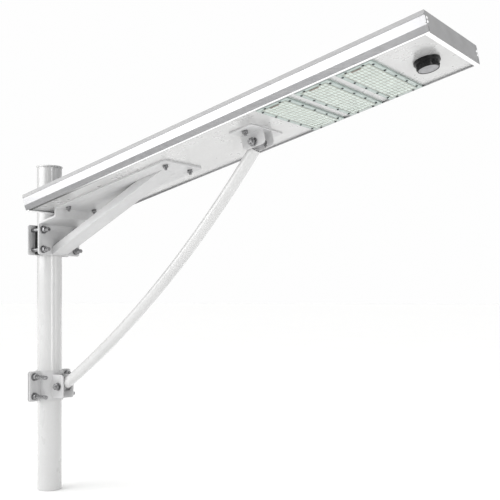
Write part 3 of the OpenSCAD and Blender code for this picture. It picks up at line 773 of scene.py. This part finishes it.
# %% Rails and caps
for side, node in (("near", "side_rail_near"), ("far", "side_rail_far")):
    rail = soften(node, side + "_side_rail", 0.5, 2, 25, 5)
    finish_piece(rail, "lamp_head", rail_alloy, node)
    # Painted highlight on the lower lip.
    dress_faces(rail, lip_painted_highlight, lambda c, n: n.z < -0.6 and c.z < 3 * MM)
    # Painted shade on the narrow top lip.
    dress_faces(rail, top_lip_painted_shade, lambda c, n: abs(c.y) > 0.1505 and c.z > 40 * MM and abs(n.y) > 0.5)
for where, node, sign in (("inner", "end_cap_inner", -1), ("outer", "end_cap_outer", 1)):
    end_cap = soften(node, where + "_end_cap", 0.8, 2, 28, 5)
    finish_piece(end_cap, "lamp_head", cap_alloy, node)
    dress_faces(end_cap, rail_alloy, lambda c, n: abs(n.y) > 0.7 and abs(c.y) > 0.14 and c.z < 40 * MM)
    # Painted shade on the cap's top lip faces.
    dress_faces(end_cap, top_lip_painted_shade, lambda c, n: abs(n.y) > 0.7 and abs(c.y) > 0.14 and c.z >= 40 * MM)
    # Painted highlight on the cap's lower rim.
    dress_faces(end_cap, rim_painted_highlight, lambda c, n: n.z < -0.6 and c.z < 4 * MM)
    face_u = (1368 if sign > 0 else 68) * MM
    # Painted shadow: a thin band of the cap next to the rails is black.
    dress_faces(end_cap, painted_seam_shadow, lambda c, n: 0.3 * MM < sign * (face_u - c.x) < 1.7 * MM and
                3 * MM < c.z < 47 * MM and abs(c.y) < 151 * MM)
    print(where, "cap:", len(end_cap.data.polygons), "faces")

# %% [markdown]
# ## Screws
# The end caps and the light modules are held by pan-head screws with a cross recess. One screw of each
# size is modelled with only a few dozen faces, because there are many of them: a short twelve-sided
# cylinder, its top edge rounded, and a shallow twelve-sided recess sunk in its head.

# %% Model the pan-head screws
def pan_head(name, head_r, head_h, shank_r, shank_len):
    """A pan-head screw along Z: its head is below zero, its shank above."""
    deselect()
    bpy.ops.mesh.primitive_cylinder_add(vertices=12, radius=head_r * MM, depth=head_h * MM,
                                        location=(0, 0, -head_h / 2 * MM))
    head = bpy.context.object
    head.name = name
    settle(head)
    pick_faces(head, lambda c, n: n.z < -0.9)
    bpy.ops.mesh.bevel(offset=head_h * 0.38 * MM, segments=2, affect="EDGES")
    leave_edit()
    pick_faces(head, lambda c, n: n.z < -0.9 and c.z < -head_h * 0.95 * MM)
    bpy.ops.mesh.inset(thickness=head_r * 0.30 * MM)
    bpy.ops.mesh.extrude_region_move(TRANSFORM_OT_translate={"value": (0, 0, head_h * 0.5 * MM)})
    leave_edit()
    pick_faces(head, lambda c, n: n.z > 0.9)
    bpy.ops.mesh.inset(thickness=(head_r - shank_r) * MM)
    bpy.ops.mesh.extrude_region_move(TRANSFORM_OT_translate={"value": (0, 0, shank_len * MM)})
    leave_edit()
    mend(head)
    only(head)
    bpy.ops.object.shade_smooth_by_angle(angle=math.radians(40))
    return head


def turned(place, axis_from, axis_to):
    """A matrix at a place, in millimetres, that turns one axis onto another."""
    turn = Vector(axis_from).rotation_difference(Vector(axis_to)).to_matrix().to_4x4()
    return Matrix.Translation(Vector(place) * MM) @ turn


dark_steel = zinc_plate("dark_steel", (0.055, 0.055, 0.058), 0.4)
LAMP_ENDS = ((68, (1, 0, 0)), (1368, (-1, 0, 0)))
cap_screw_places = [turned((u, side * 145, w), (0, 0, 1), inward)
                    for u, inward in LAMP_ENDS for side in (-1, 1) for w in (33, 24.5)]
cap_screws = repeat("end_cap_screw_set", pan_head("cap_screw", 3.3, 1.8, 1.75, 26), cap_screw_places)
lay(cap_screws, LAMP)
# The cap screws are painted near white: a painted highlight on their zinc heads.
cap_screw_painted_highlight = zinc_plate("cap_screw_painted_highlight", (0.95, 0.95, 0.95), 0.4)
cap_screw_painted_highlight.node_tree.nodes["Principled BSDF"].inputs["Metallic"].default_value = 0.2
give(cap_screws, cap_screw_painted_highlight)
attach(cap_screws, "lamp_head")
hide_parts("end_cap_screws")

MODULES = (955, 1067, 1179)
SCREW_SPOTS = [(s * 39.5, k * 57) for s in (-1, 1) for k in range(-2, 3)]
SCREW_SPOTS += [(t * 22, s * 131) for s in (-1, 1) for t in (-1, 1)]
module_screw_places = [Matrix.Translation(Vector((m + u, v, -1)) * MM)
                       for m in MODULES for u, v in SCREW_SPOTS]
module_screws = repeat("module_screw_set", pan_head("module_screw", 3, 1.6, 1.5, 9.5), module_screw_places)
lay(module_screws, LAMP)
give(module_screws, dark_steel)
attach(module_screws, "lamp_head")
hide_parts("module_screws")
print("screws:", len(cap_screw_places), "in the caps,", len(module_screw_places), "in the modules")

# %% [markdown]
# ## Light modules
# Each module is one moulded acrylic plate: a flat frame for the screws, a groove for the seal, and a
# raised field of long oval lenses, seven rows of thirteen. The plate is a block whose lower face is inset
# and extruded in steps. One lens is a flattened ball with sixty faces, which array modifiers repeat over
# the field. The field between the lenses and the walls of the steps are darker copies of the acrylic, as
# painted shade. A short dark bar near one end covers the plug of the module.

# %% Finishes of the module's parts, with painted shade between the lenses and on the step walls
# The field between the lenses is a darker copy of the acrylic: painted shade between the lenses.
lens_field_painted_shade = moulded_plastic("lens_field_painted_shade", (0.42, 0.44, 0.39), 0.22, 0.000003, 500, 0.1)
lens_frame = moulded_plastic("lens_frame", (0.42, 0.485, 0.46), 0.2, 0.000003, 500, 0.1)
# The step walls and plate sides are a darker copy still: painted shade on the walls.
lens_edge_painted_shade = moulded_plastic("lens_edge_painted_shade", (0.28, 0.33, 0.31), 0.3, 0.000003, 500)
plug_plastic = moulded_plastic("plug_plastic", (0.22, 0.19, 0.165), 0.5)

# %% Mould one lens plate
PLATE_U, PLATE_V, PLATE_LOW, PLATE_TOP = 45, 137, -1, 4
LENS_ROWS, LENSES_IN_ROW = 7, 13
FIELD_U, FIELD_V = 64, 246


def lens_plate(name):
    plate = block(name, (-PLATE_U, -PLATE_V, PLATE_LOW), (PLATE_U, PLATE_V, PLATE_TOP))
    pick_faces(plate, lambda c, n: n.z < -0.9)
    bpy.ops.mesh.inset(thickness=9.5 * MM)
    bpy.ops.mesh.extrude_region_move(TRANSFORM_OT_translate={"value": (0, 0, 1.3 * MM)})
    bpy.ops.mesh.inset(thickness=1.6 * MM)
    bpy.ops.mesh.extrude_region_move(TRANSFORM_OT_translate={"value": (0, 0, -1.6 * MM)})
    leave_edit()
    pick_faces(plate, lambda c, n: n.z > 0.9 and c.z > 3 * MM)
    bpy.ops.mesh.inset(thickness=12 * MM)
    bpy.ops.mesh.extrude_region_move(TRANSFORM_OT_translate={"value": (0, 0, -2.5 * MM)})
    leave_edit()
    return round_edges(plate, 0.4, 2, 40)


def lens_array(name):
    step_u, step_v = FIELD_U / LENS_ROWS, FIELD_V / LENSES_IN_ROW
    deselect()
    bpy.ops.mesh.primitive_uv_sphere_add(
        segments=10, ring_count=6, radius=1,
        location=((-FIELD_U + step_u) / 2 * MM, (-FIELD_V + step_v) / 2 * MM, -1.2 * MM))
    lens = bpy.context.object
    lens.name = name
    lens.scale = (step_u * 0.45 * MM, step_v * 0.49 * MM, 1.2 * MM)
    settle(lens)
    fill_field(lens, (LENS_ROWS, (step_u * MM, 0, 0)), (LENSES_IN_ROW, (0, step_v * MM, 0)))
    bpy.ops.object.shade_smooth()
    return lens


for number, middle in enumerate(MODULES, 1):
    plate = lens_plate("lens_plate_%d" % number)
    give(plate, lens_plastic)
    for finish in (lens_field_painted_shade, lens_frame, lens_edge_painted_shade):
        plate.data.materials.append(finish)
    # Slot 1 is painted shade on the field between the lenses.
    for face in plate.data.polygons:
        on_field = abs(face.center.x) < 34.5 * MM and abs(face.center.y) < 126.5 * MM
        if on_field and face.center.z < 0.8 * MM:
            face.material_index = 1 if face.normal.z < -0.5 else 3
        # Slot 3 is painted shade on the step walls and sides.
        elif face.center.z < 3 * MM:
            face.material_index = 2 if face.normal.z < -0.5 else 3
    lenses = lens_array("lens_rows")
    give(lenses, lens_plastic)
    plate = join("lens_plate_%d" % number, plate, lenses)
    lay(plate, LAMP @ Matrix.Translation((middle * MM, 0, 0)))
    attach(plate, "lamp_head")
    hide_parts("led_lens_%d" % number)
    bar = block("module_plug_%d" % number, (-12, -125, -3), (12, -119.5, -1))
    round_edges(bar, 0.6, 2, 40)
    lay(bar, LAMP @ Matrix.Translation((middle * MM, 0, 0)))
    give(bar, plug_plastic)
    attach(bar, "lamp_head")
    print(plate.name, len(plate.data.polygons), "faces")

# %% [markdown]
# ## Motion sensor
# The sensor is a black moulded cup with a wider rim, a few grip ribs round its side, and a grey window
# that is moulded in rings. Both are turned from a profile; the ribs are small blocks set round the cup.

# %% Turn the sensor
SENSOR_U = 1297
sensor = lathe("sensor_cup", [
    (0, -15.5), (23, -15.5), (23, -17.6), (23.6, -18), (24.6, -18), (25.2, -17.2), (26.2, -9),
    (27, -4.2), (28.4, -3.2), (30.4, -2.6), (31, -1.8), (31, 0.5), (30.6, 3.6), (30, 4), (9, 4), (9, 18),
    (0, 18)], 72)
rib_places = [Matrix.Rotation(math.radians(15 + 30 * k), 4, "Z") for k in range(12)]
rib = block("rib", (25.2, -1, -15), (27, 1, -4.5))
round_edges(rib, 0.5, 2, 40)
ribs = repeat("sensor_ribs", rib, rib_places)
sensor = join("sensor_cup", sensor, ribs)
lay(sensor, LAMP @ Matrix.Translation((SENSOR_U * MM, 0, 0)))
finish_piece(sensor, "lamp_head", sensor_plastic, "sensor_body")
rings = []
for k in range(8):
    rings += [(22.6 - 2.8 * k, -17.2), (21.0 - 2.8 * k, -16.6)]
window = lathe("sensor_window_disc", [(0, -15.2), (22.8, -15.2), (22.8, -16.8)] + rings + [(0, -17.0)], 64)
lay(window, LAMP @ Matrix.Translation((SENSOR_U * MM, 0, 0)))
finish_piece(window, "lamp_head", sensor_window, "sensor_lens")
print("sensor:", len(sensor.data.polygons), "faces; window:", len(window.data.polygons), "faces")

# %% [markdown]
# ## Solar panel
# Under the glass lies a white back sheet with rows of dark cells. A cell is a thin square wafer with
# clipped corners, and three silver ribbons run over every row. One cell is modelled and repeated with two
# array modifiers, and the back sheet stays a single thin block under them.

# %% Lay the cells
silver_ribbon = drawn_alloy("silver_ribbon", (0.75, 0.75, 0.76), 0.3)
CELL_COLUMNS, CELL_ROWS = 12, 3
CELLS_FROM, CELLS_TO, CELLS_HALF_V = 79.5, 1356.5, 145.5
pitch_u = (CELLS_TO - CELLS_FROM - 8) / CELL_COLUMNS
pitch_v = (2 * CELLS_HALF_V - 12) / CELL_ROWS
back_sheet = block("solar_cell_sheet", (CELLS_FROM, -CELLS_HALF_V, 43.6), (CELLS_TO, CELLS_HALF_V, 44.2))
give(back_sheet, base_paint)
first_u, first_v = CELLS_FROM + 4 + pitch_u / 2, -CELLS_HALF_V + 6 + pitch_v / 2
cell = block("cell", (first_u - pitch_u / 2 + 1.2, first_v - pitch_v / 2 + 1.2, 44.2),
             (first_u + pitch_u / 2 - 1.2, first_v + pitch_v / 2 - 1.2, 44.5))
edit(cell, False)
bpy.ops.mesh.select_mode(type="EDGE")
cell_mesh = bmesh.from_edit_mesh(cell.data)
for edge in cell_mesh.edges:
    edge.select_set(abs(edge.verts[0].co.z - edge.verts[1].co.z) > 0.1 * MM)
bmesh.update_edit_mesh(cell.data)
bpy.ops.mesh.bevel(offset=9 * MM, segments=1, affect="EDGES")
leave_edit()
give(cell, solar_cell)
fill_field(cell, (CELL_COLUMNS, (pitch_u * MM, 0, 0)), (CELL_ROWS, (0, pitch_v * MM, 0)))
ribbon_places = [Matrix.Translation((0, (first_v + row * pitch_v + across) * MM, 0))
                 for row in range(CELL_ROWS) for across in (-30, 0, 30)]
ribbon = block("ribbon", (CELLS_FROM + 6, -1, 44.4), (CELLS_TO - 6, 1, 44.65))
round_edges(ribbon, 0.08, 1, 40)
ribbons = repeat("ribbons", ribbon, ribbon_places)
give(ribbons, silver_ribbon)
cells = join("solar_cell_sheet", back_sheet, cell, ribbons)
lay(cells, LAMP)
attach(cells, "lamp_head")
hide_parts("solar_cells")
print("cells:", CELL_COLUMNS * CELL_ROWS, "faces:", len(cells.data.polygons))

# %% [markdown]
# ## Bracket, clamps and clevis
# These are cut and folded from steel sheet. Laser-cut edges are deburred before painting, and powder
# coat pulls back from a sharp edge, so every edge of a real one is round and shines. The CAD shapes are
# right, holes included, so each is copied, cleaned into whole faces, and given rounded edges of about a
# third of the sheet's thickness.

# %% Round the sheet-metal pieces
SHEET_METAL = (
    ("bracket_plate", "folded_bracket", 1.7, "lamp_head"),
    ("bracket_saddles", "bracket_ribs", 0.8, "lamp_head"),
    ("bracket_brace", "channel_brace", 1.2, "lamp_head"),
    ("upper_clamp_rear", "upper_clamp_back", 1.2, "lamp_head"),
    ("strut_clevis", "lamp_clevis", 1.2, "lamp_head"),
    ("lower_clamp_front", "lower_clamp_face", 1.2, "lower_clamp"),
    ("lower_clamp_rear", "lower_clamp_back", 1.2, "lower_clamp"),
    ("lower_clamp_ears", "lower_clamp_lugs", 1.2, "lower_clamp"),
)
for node, name, width, body in SHEET_METAL:
    piece = soften(node, name, width, 3)
    finish_piece(piece, body, bracket_paint, node)
    print(name, len(piece.data.polygons), "faces")

# %% [markdown]
# Between the bracket's plate and the rear clamp half, a black strip on each side of the pole fills the
# gap as a painted shadow for the deep shade there. It is a cut block, a little rounded at its edges.

# %% Black strips beside the pole, as a painted shadow
shadow_black = moulded_plastic("shadow_black", (0.012, 0.012, 0.012), 0.6, 0.00003)
shadow_strips = repeat("clamp_shadow_strips", round_edges(block("packing", (0, 45, 731), (41.4, 57, 819)), 1, 2),
                  [Matrix.Identity(4), Matrix.Translation((0, -102 * MM, 0))])
# The strips are black: a painted shadow between plate and clamp.
give(shadow_strips, shadow_black)
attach(shadow_strips, "lamp_head")
print("packing:", len(shadow_strips.data.polygons), "faces")

# %% [markdown]
# ## Strut
# The strut is one tube, rolled to a large radius. A ring of points is drawn at its lower end and spun
# about the centre of the bow, which leaves an open skin; a solidify modifier then gives it its wall.
# The welded end fittings are rounded copies of the CAD shapes.

# %% Roll the strut
def lamp_point(u, w):
    """X and Z of a point of the lamp, in millimetres."""
    place = LAMP @ Vector((u * MM, 0, w * MM)) / MM
    return Vector((place.x, place.z))


STRUT_R, STRUT_WALL, STRUT_BOW, TUBE_BACK = 16, 2.5, 42, 17
TOP_PIVOT, LOW_PIVOT = lamp_point(814, -25), Vector((65, 325))
chord = LOW_PIVOT - TOP_PIVOT
out = Vector((-chord.y, chord.x)).normalized()
bow_r = (chord.length ** 2 / 4 + STRUT_BOW ** 2) / (2 * STRUT_BOW)
bow_centre = (TOP_PIVOT + LOW_PIVOT) / 2 - out * (bow_r - STRUT_BOW)
low_angle = math.atan2(*(LOW_PIVOT - bow_centre).yx) + TUBE_BACK / bow_r
top_angle = math.atan2(*(TOP_PIVOT - bow_centre).yx) - TUBE_BACK / bow_r
start = bow_centre + Vector((math.cos(low_angle), math.sin(low_angle))) * bow_r
deselect()
bpy.ops.mesh.primitive_circle_add(
    vertices=40, radius=STRUT_R * MM, location=(start.x * MM, 0, start.y * MM))
strut = bpy.context.object
strut.name = "rolled_strut"
radial = Vector((math.cos(low_angle), 0, math.sin(low_angle)))
along = Vector((-radial.z, 0, radial.x))
strut.rotation_mode = "QUATERNION"
strut.rotation_quaternion = Vector((0, 0, 1)).rotation_difference(along)
settle(strut)
edit(strut)
bpy.ops.mesh.spin(steps=60, angle=top_angle - low_angle, axis=(0, 1, 0),
                  center=(bow_centre.x * MM, 0, bow_centre.y * MM))
leave_edit()
mend(strut)
wall = strut.modifiers.new("wall", "SOLIDIFY")
wall.thickness = STRUT_WALL * MM
wall.offset = -1
apply_all(strut)
round_edges(strut, 0.6, 2, 50)
finish_piece(strut, "strut", painted_strut, "strut_tube")
for node, name in (("strut_upper_eye", "strut_top_fitting"), ("strut_lower_eye", "strut_foot_fitting")):
    finish_piece(soften(node, name, 0.9, 2), "strut", zinc_steel, node)
low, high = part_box("strut_tube")
print("strut box, CAD:", [round(c, 4) for c in (*low, *high)])
corners = [strut.matrix_world @ Vector(c) for c in strut.bound_box]
print("strut box, new:", [round(f(c[i] for c in corners), 4) for f in (min, max) for i in range(3)])

# %% [markdown]
# ## Bolts, nuts and washers
# A nut is a hexagon whose corners are turned off to a cone on both sides, which leaves the curved lines
# that everyone knows. The quickest way to that shape is to intersect a hexagonal prism with a chamfered
# disc. Threads are cut at their true pitch as closed rings, because on so short a tail nobody can tell
# them from a helix, and spin makes them closed at once. Washers are turned, with one rounded edge.

# %% Model the fasteners
def chamfered_hex(name, flats, height, bore=0):
    """A hexagon from z = 0 up to its height, with turned-off corners."""
    corner = flats / 2 / math.cos(math.radians(30))
    deselect()
    bpy.ops.mesh.primitive_cylinder_add(
        vertices=6, radius=corner * MM, depth=height * MM, location=(0, 0, height / 2 * MM),
        rotation=(0, 0, math.radians(30)))
    nut = bpy.context.object
    nut.name = name
    settle(nut)
    cut = corner - flats / 2
    turned_off = lathe("disc", [
        (0, -0.01), (flats / 2 - 0.2, -0.01), (corner + 0.02, cut * 0.62),
        (corner + 0.02, height - cut * 0.62), (flats / 2 - 0.2, height + 0.01), (0, height + 0.01)], 48)
    cutters = [(turned_off, "INTERSECT")]
    if bore:
        deselect()
        bpy.ops.mesh.primitive_cylinder_add(
            vertices=32, radius=bore * MM, depth=height * 2 * MM, location=(0, 0, height / 2 * MM))
        cutters.append((bpy.context.object, "DIFFERENCE"))
    for cutter, how in cutters:
        boolean = nut.modifiers.new("cut", "BOOLEAN")
        boolean.operation = how
        boolean.solver = "EXACT"
        boolean.object = cutter
    apply_all(nut)
    only(*[c for c, how in cutters])
    bpy.ops.object.delete()
    mend(nut)
    return round_edges(nut, 0.2, 1, 50)


def threaded_rod(name, r, pitch, low, thread_from, high):
    """A rod along Z: plain from low to thread_from, then threaded up to a chamfered tip."""
    profile = [(0, low), (r, low), (r, thread_from)]
    z = thread_from
    while z + pitch < high - 1:
        profile += [(r * 0.88, z + pitch * 0.35), (r * 0.88, z + pitch * 0.45), (r, z + pitch * 0.9),
                    (r, z + pitch)]
        z += pitch
    profile += [(r, high - 1.2), (r - 1.2, high), (0, high)]
    return lathe(name, profile, 24)


def washer(name, bore, r, t):
    return lathe(name, [
        (bore, 0), (r - 0.3, 0), (r, 0.3), (r, t - 0.5), (r - 0.5, t), (bore + 0.3, t), (bore, t - 0.3)], 48)


def hex_bolt(name, flats, head_h, r, pitch, thread_from, high):
    """A bolt along Z with its head below zero."""
    head = chamfered_hex(name, flats, head_h)
    lay(head, Matrix.Translation((0, 0, -head_h * MM)))
    return join(name, head, threaded_rod("rod", r, pitch, -1, thread_from, high))


PLAY = 0.05
BOLT_Y, BOLT_Z = 65, 30                    # a clamp bolt from the pole axis, and from the clamp middle
PLATE_FRONT, EAR_BACK, EAR_FRONT = 46.5, -5.5, 5.5
M12_R, M12_FLATS, M12_PITCH, M12_NUT, M12_HEAD = 6, 18, 1.75, 10, 7.5
M12_WASHER, M12_WASHER_R = 2.5, 12


def clamp_places(x, mid_z, sides=(-BOLT_Y, BOLT_Y)):
    return [turned((x, y, mid_z + z), (0, 0, 1), (1, 0, 0)) for y in sides for z in (-BOLT_Z, BOLT_Z)]


# %% Clamp bolts
for body, label, mid_z, face, thread_from, tips in (
        ("lamp_head", "upper", 775, PLATE_FRONT, 44, (73.5, 73.5)),
        ("lower_clamp", "lower", 325, EAR_FRONT, 14, (62, 40))):
    sets = []
    for side, end in zip((-1, 1), tips):
        bolt = hex_bolt("bolt", M12_FLATS, M12_HEAD, M12_R, M12_PITCH, thread_from, end - EAR_BACK)
        sets.append(repeat("set", bolt, clamp_places(EAR_BACK, mid_z, (side * BOLT_Y,))))
    bolts = join(label + "_clamp_bolt_set", *sets)
    finish_piece(bolts, body, zinc_steel, label + "_clamp_bolts")
    nut = chamfered_hex("nut", M12_FLATS, M12_NUT, M12_R + PLAY)
    nuts = repeat(label + "_clamp_nut_set", nut, clamp_places(face + M12_WASHER, mid_z))
    finish_piece(nuts, body, zinc_steel, label + "_clamp_nuts")
    washers = repeat(label + "_clamp_washer_set", washer("washer", M12_R + PLAY, M12_WASHER_R, M12_WASHER),
                     clamp_places(face, mid_z))
    finish_piece(washers, body, zinc_steel, label + "_clamp_washers")
    print(label, "clamp:", len(bolts.data.polygons), "bolt faces,", len(nuts.data.polygons), "nut faces")

# %% Pivot bolts
CLEVIS_HALF, CLEVIS_OUT, THIN = 18, 22, 0.7
PIVOT_TAIL, CONTACT_PLAY = 6, 0.11


def on_pivot(pivot, y, toward):
    """A matrix on the pivot's axis at Y, for a piece that is drawn along Z and points along Y."""
    return turned((pivot.x, y, pivot.y), (0, 0, 1), (0, toward, 0))


for body, label, pivot in (("lamp_head", "upper", TOP_PIVOT), ("lower_clamp", "lower", LOW_PIVOT)):
    head_y = CLEVIS_OUT + M12_WASHER
    tail_y = head_y + M12_NUT + PIVOT_TAIL
    bolt = hex_bolt("bolt", M12_FLATS, M12_HEAD, M12_R, M12_PITCH, 2 * CLEVIS_OUT + 2, head_y + tail_y)
    bolt = repeat(label + "_pivot_pin", bolt, [on_pivot(pivot, head_y, -1)])
    finish_piece(bolt, body, zinc_steel, label + "_pivot_bolt")
    nut = repeat(label + "_pivot_lock_nut", chamfered_hex("nut", M12_FLATS, M12_NUT, M12_R + PLAY),
                 [on_pivot(pivot, -head_y, -1)])
    finish_piece(nut, body, zinc_steel, label + "_pivot_nut")
    wide = repeat("wide", washer("washer", M12_R + PLAY, M12_WASHER_R, M12_WASHER),
                  [on_pivot(pivot, side * CLEVIS_OUT, side) for side in (-1, 1)])
    thin = repeat("thin", washer("washer", M12_R + PLAY, M12_WASHER_R, THIN + CONTACT_PLAY),
                  [on_pivot(pivot, side * CLEVIS_HALF, -side) for side in (-1, 1)])
    washers = join(label + "_pivot_washer_set", wide, thin)
    finish_piece(washers, body, zinc_steel, label + "_pivot_washers")
print("pivots at", [tuple(round(c, 1) for c in p) for p in (TOP_PIVOT, LOW_PIVOT)])

# %% Bolts through the lamp
M8_R, M8_FLATS, M8_PITCH, M8_NUT, M8_WASHER = 4, 13, 1.25, 6.5, 1.6
LAMP_BOLT_SPOTS = [(u, s * 52, -1) for u in (147, 540) for s in (-1, 1)] + [(814, s * 52, 0) for s in (-1, 1)]


def lamp_places(drop):
    return [turned((u, v, w - drop), (0, 0, 1), (0, 0, -1)) for u, v, w in LAMP_BOLT_SPOTS]


tail = M8_WASHER + M8_NUT + 6
rod = threaded_rod("bolt", M8_R, M8_PITCH, -7.3, 0, tail)
lamp_bolt_head = lathe("head", [(0, -11), (5.5, -11), (7.2, -9.8), (8, -8), (8, -7), (0, -7)], 32)
bolts = repeat("lamp_bolt_set", join("bolt", rod, lamp_bolt_head), lamp_places(0))
nuts = repeat("lamp_nut_set", chamfered_hex("nut", M8_FLATS, M8_NUT, M8_R + PLAY), lamp_places(M8_WASHER))
washers = repeat("lamp_washer_set", washer("washer", M8_R + PLAY, 8, M8_WASHER), lamp_places(0))
for piece, node in ((bolts, "lamp_bolts"), (nuts, "lamp_nuts"), (washers, "lamp_washers")):
    lay(piece, LAMP)
    finish_piece(piece, "lamp_head", zinc_steel, node)
print("lamp bolts:", len(LAMP_BOLT_SPOTS))
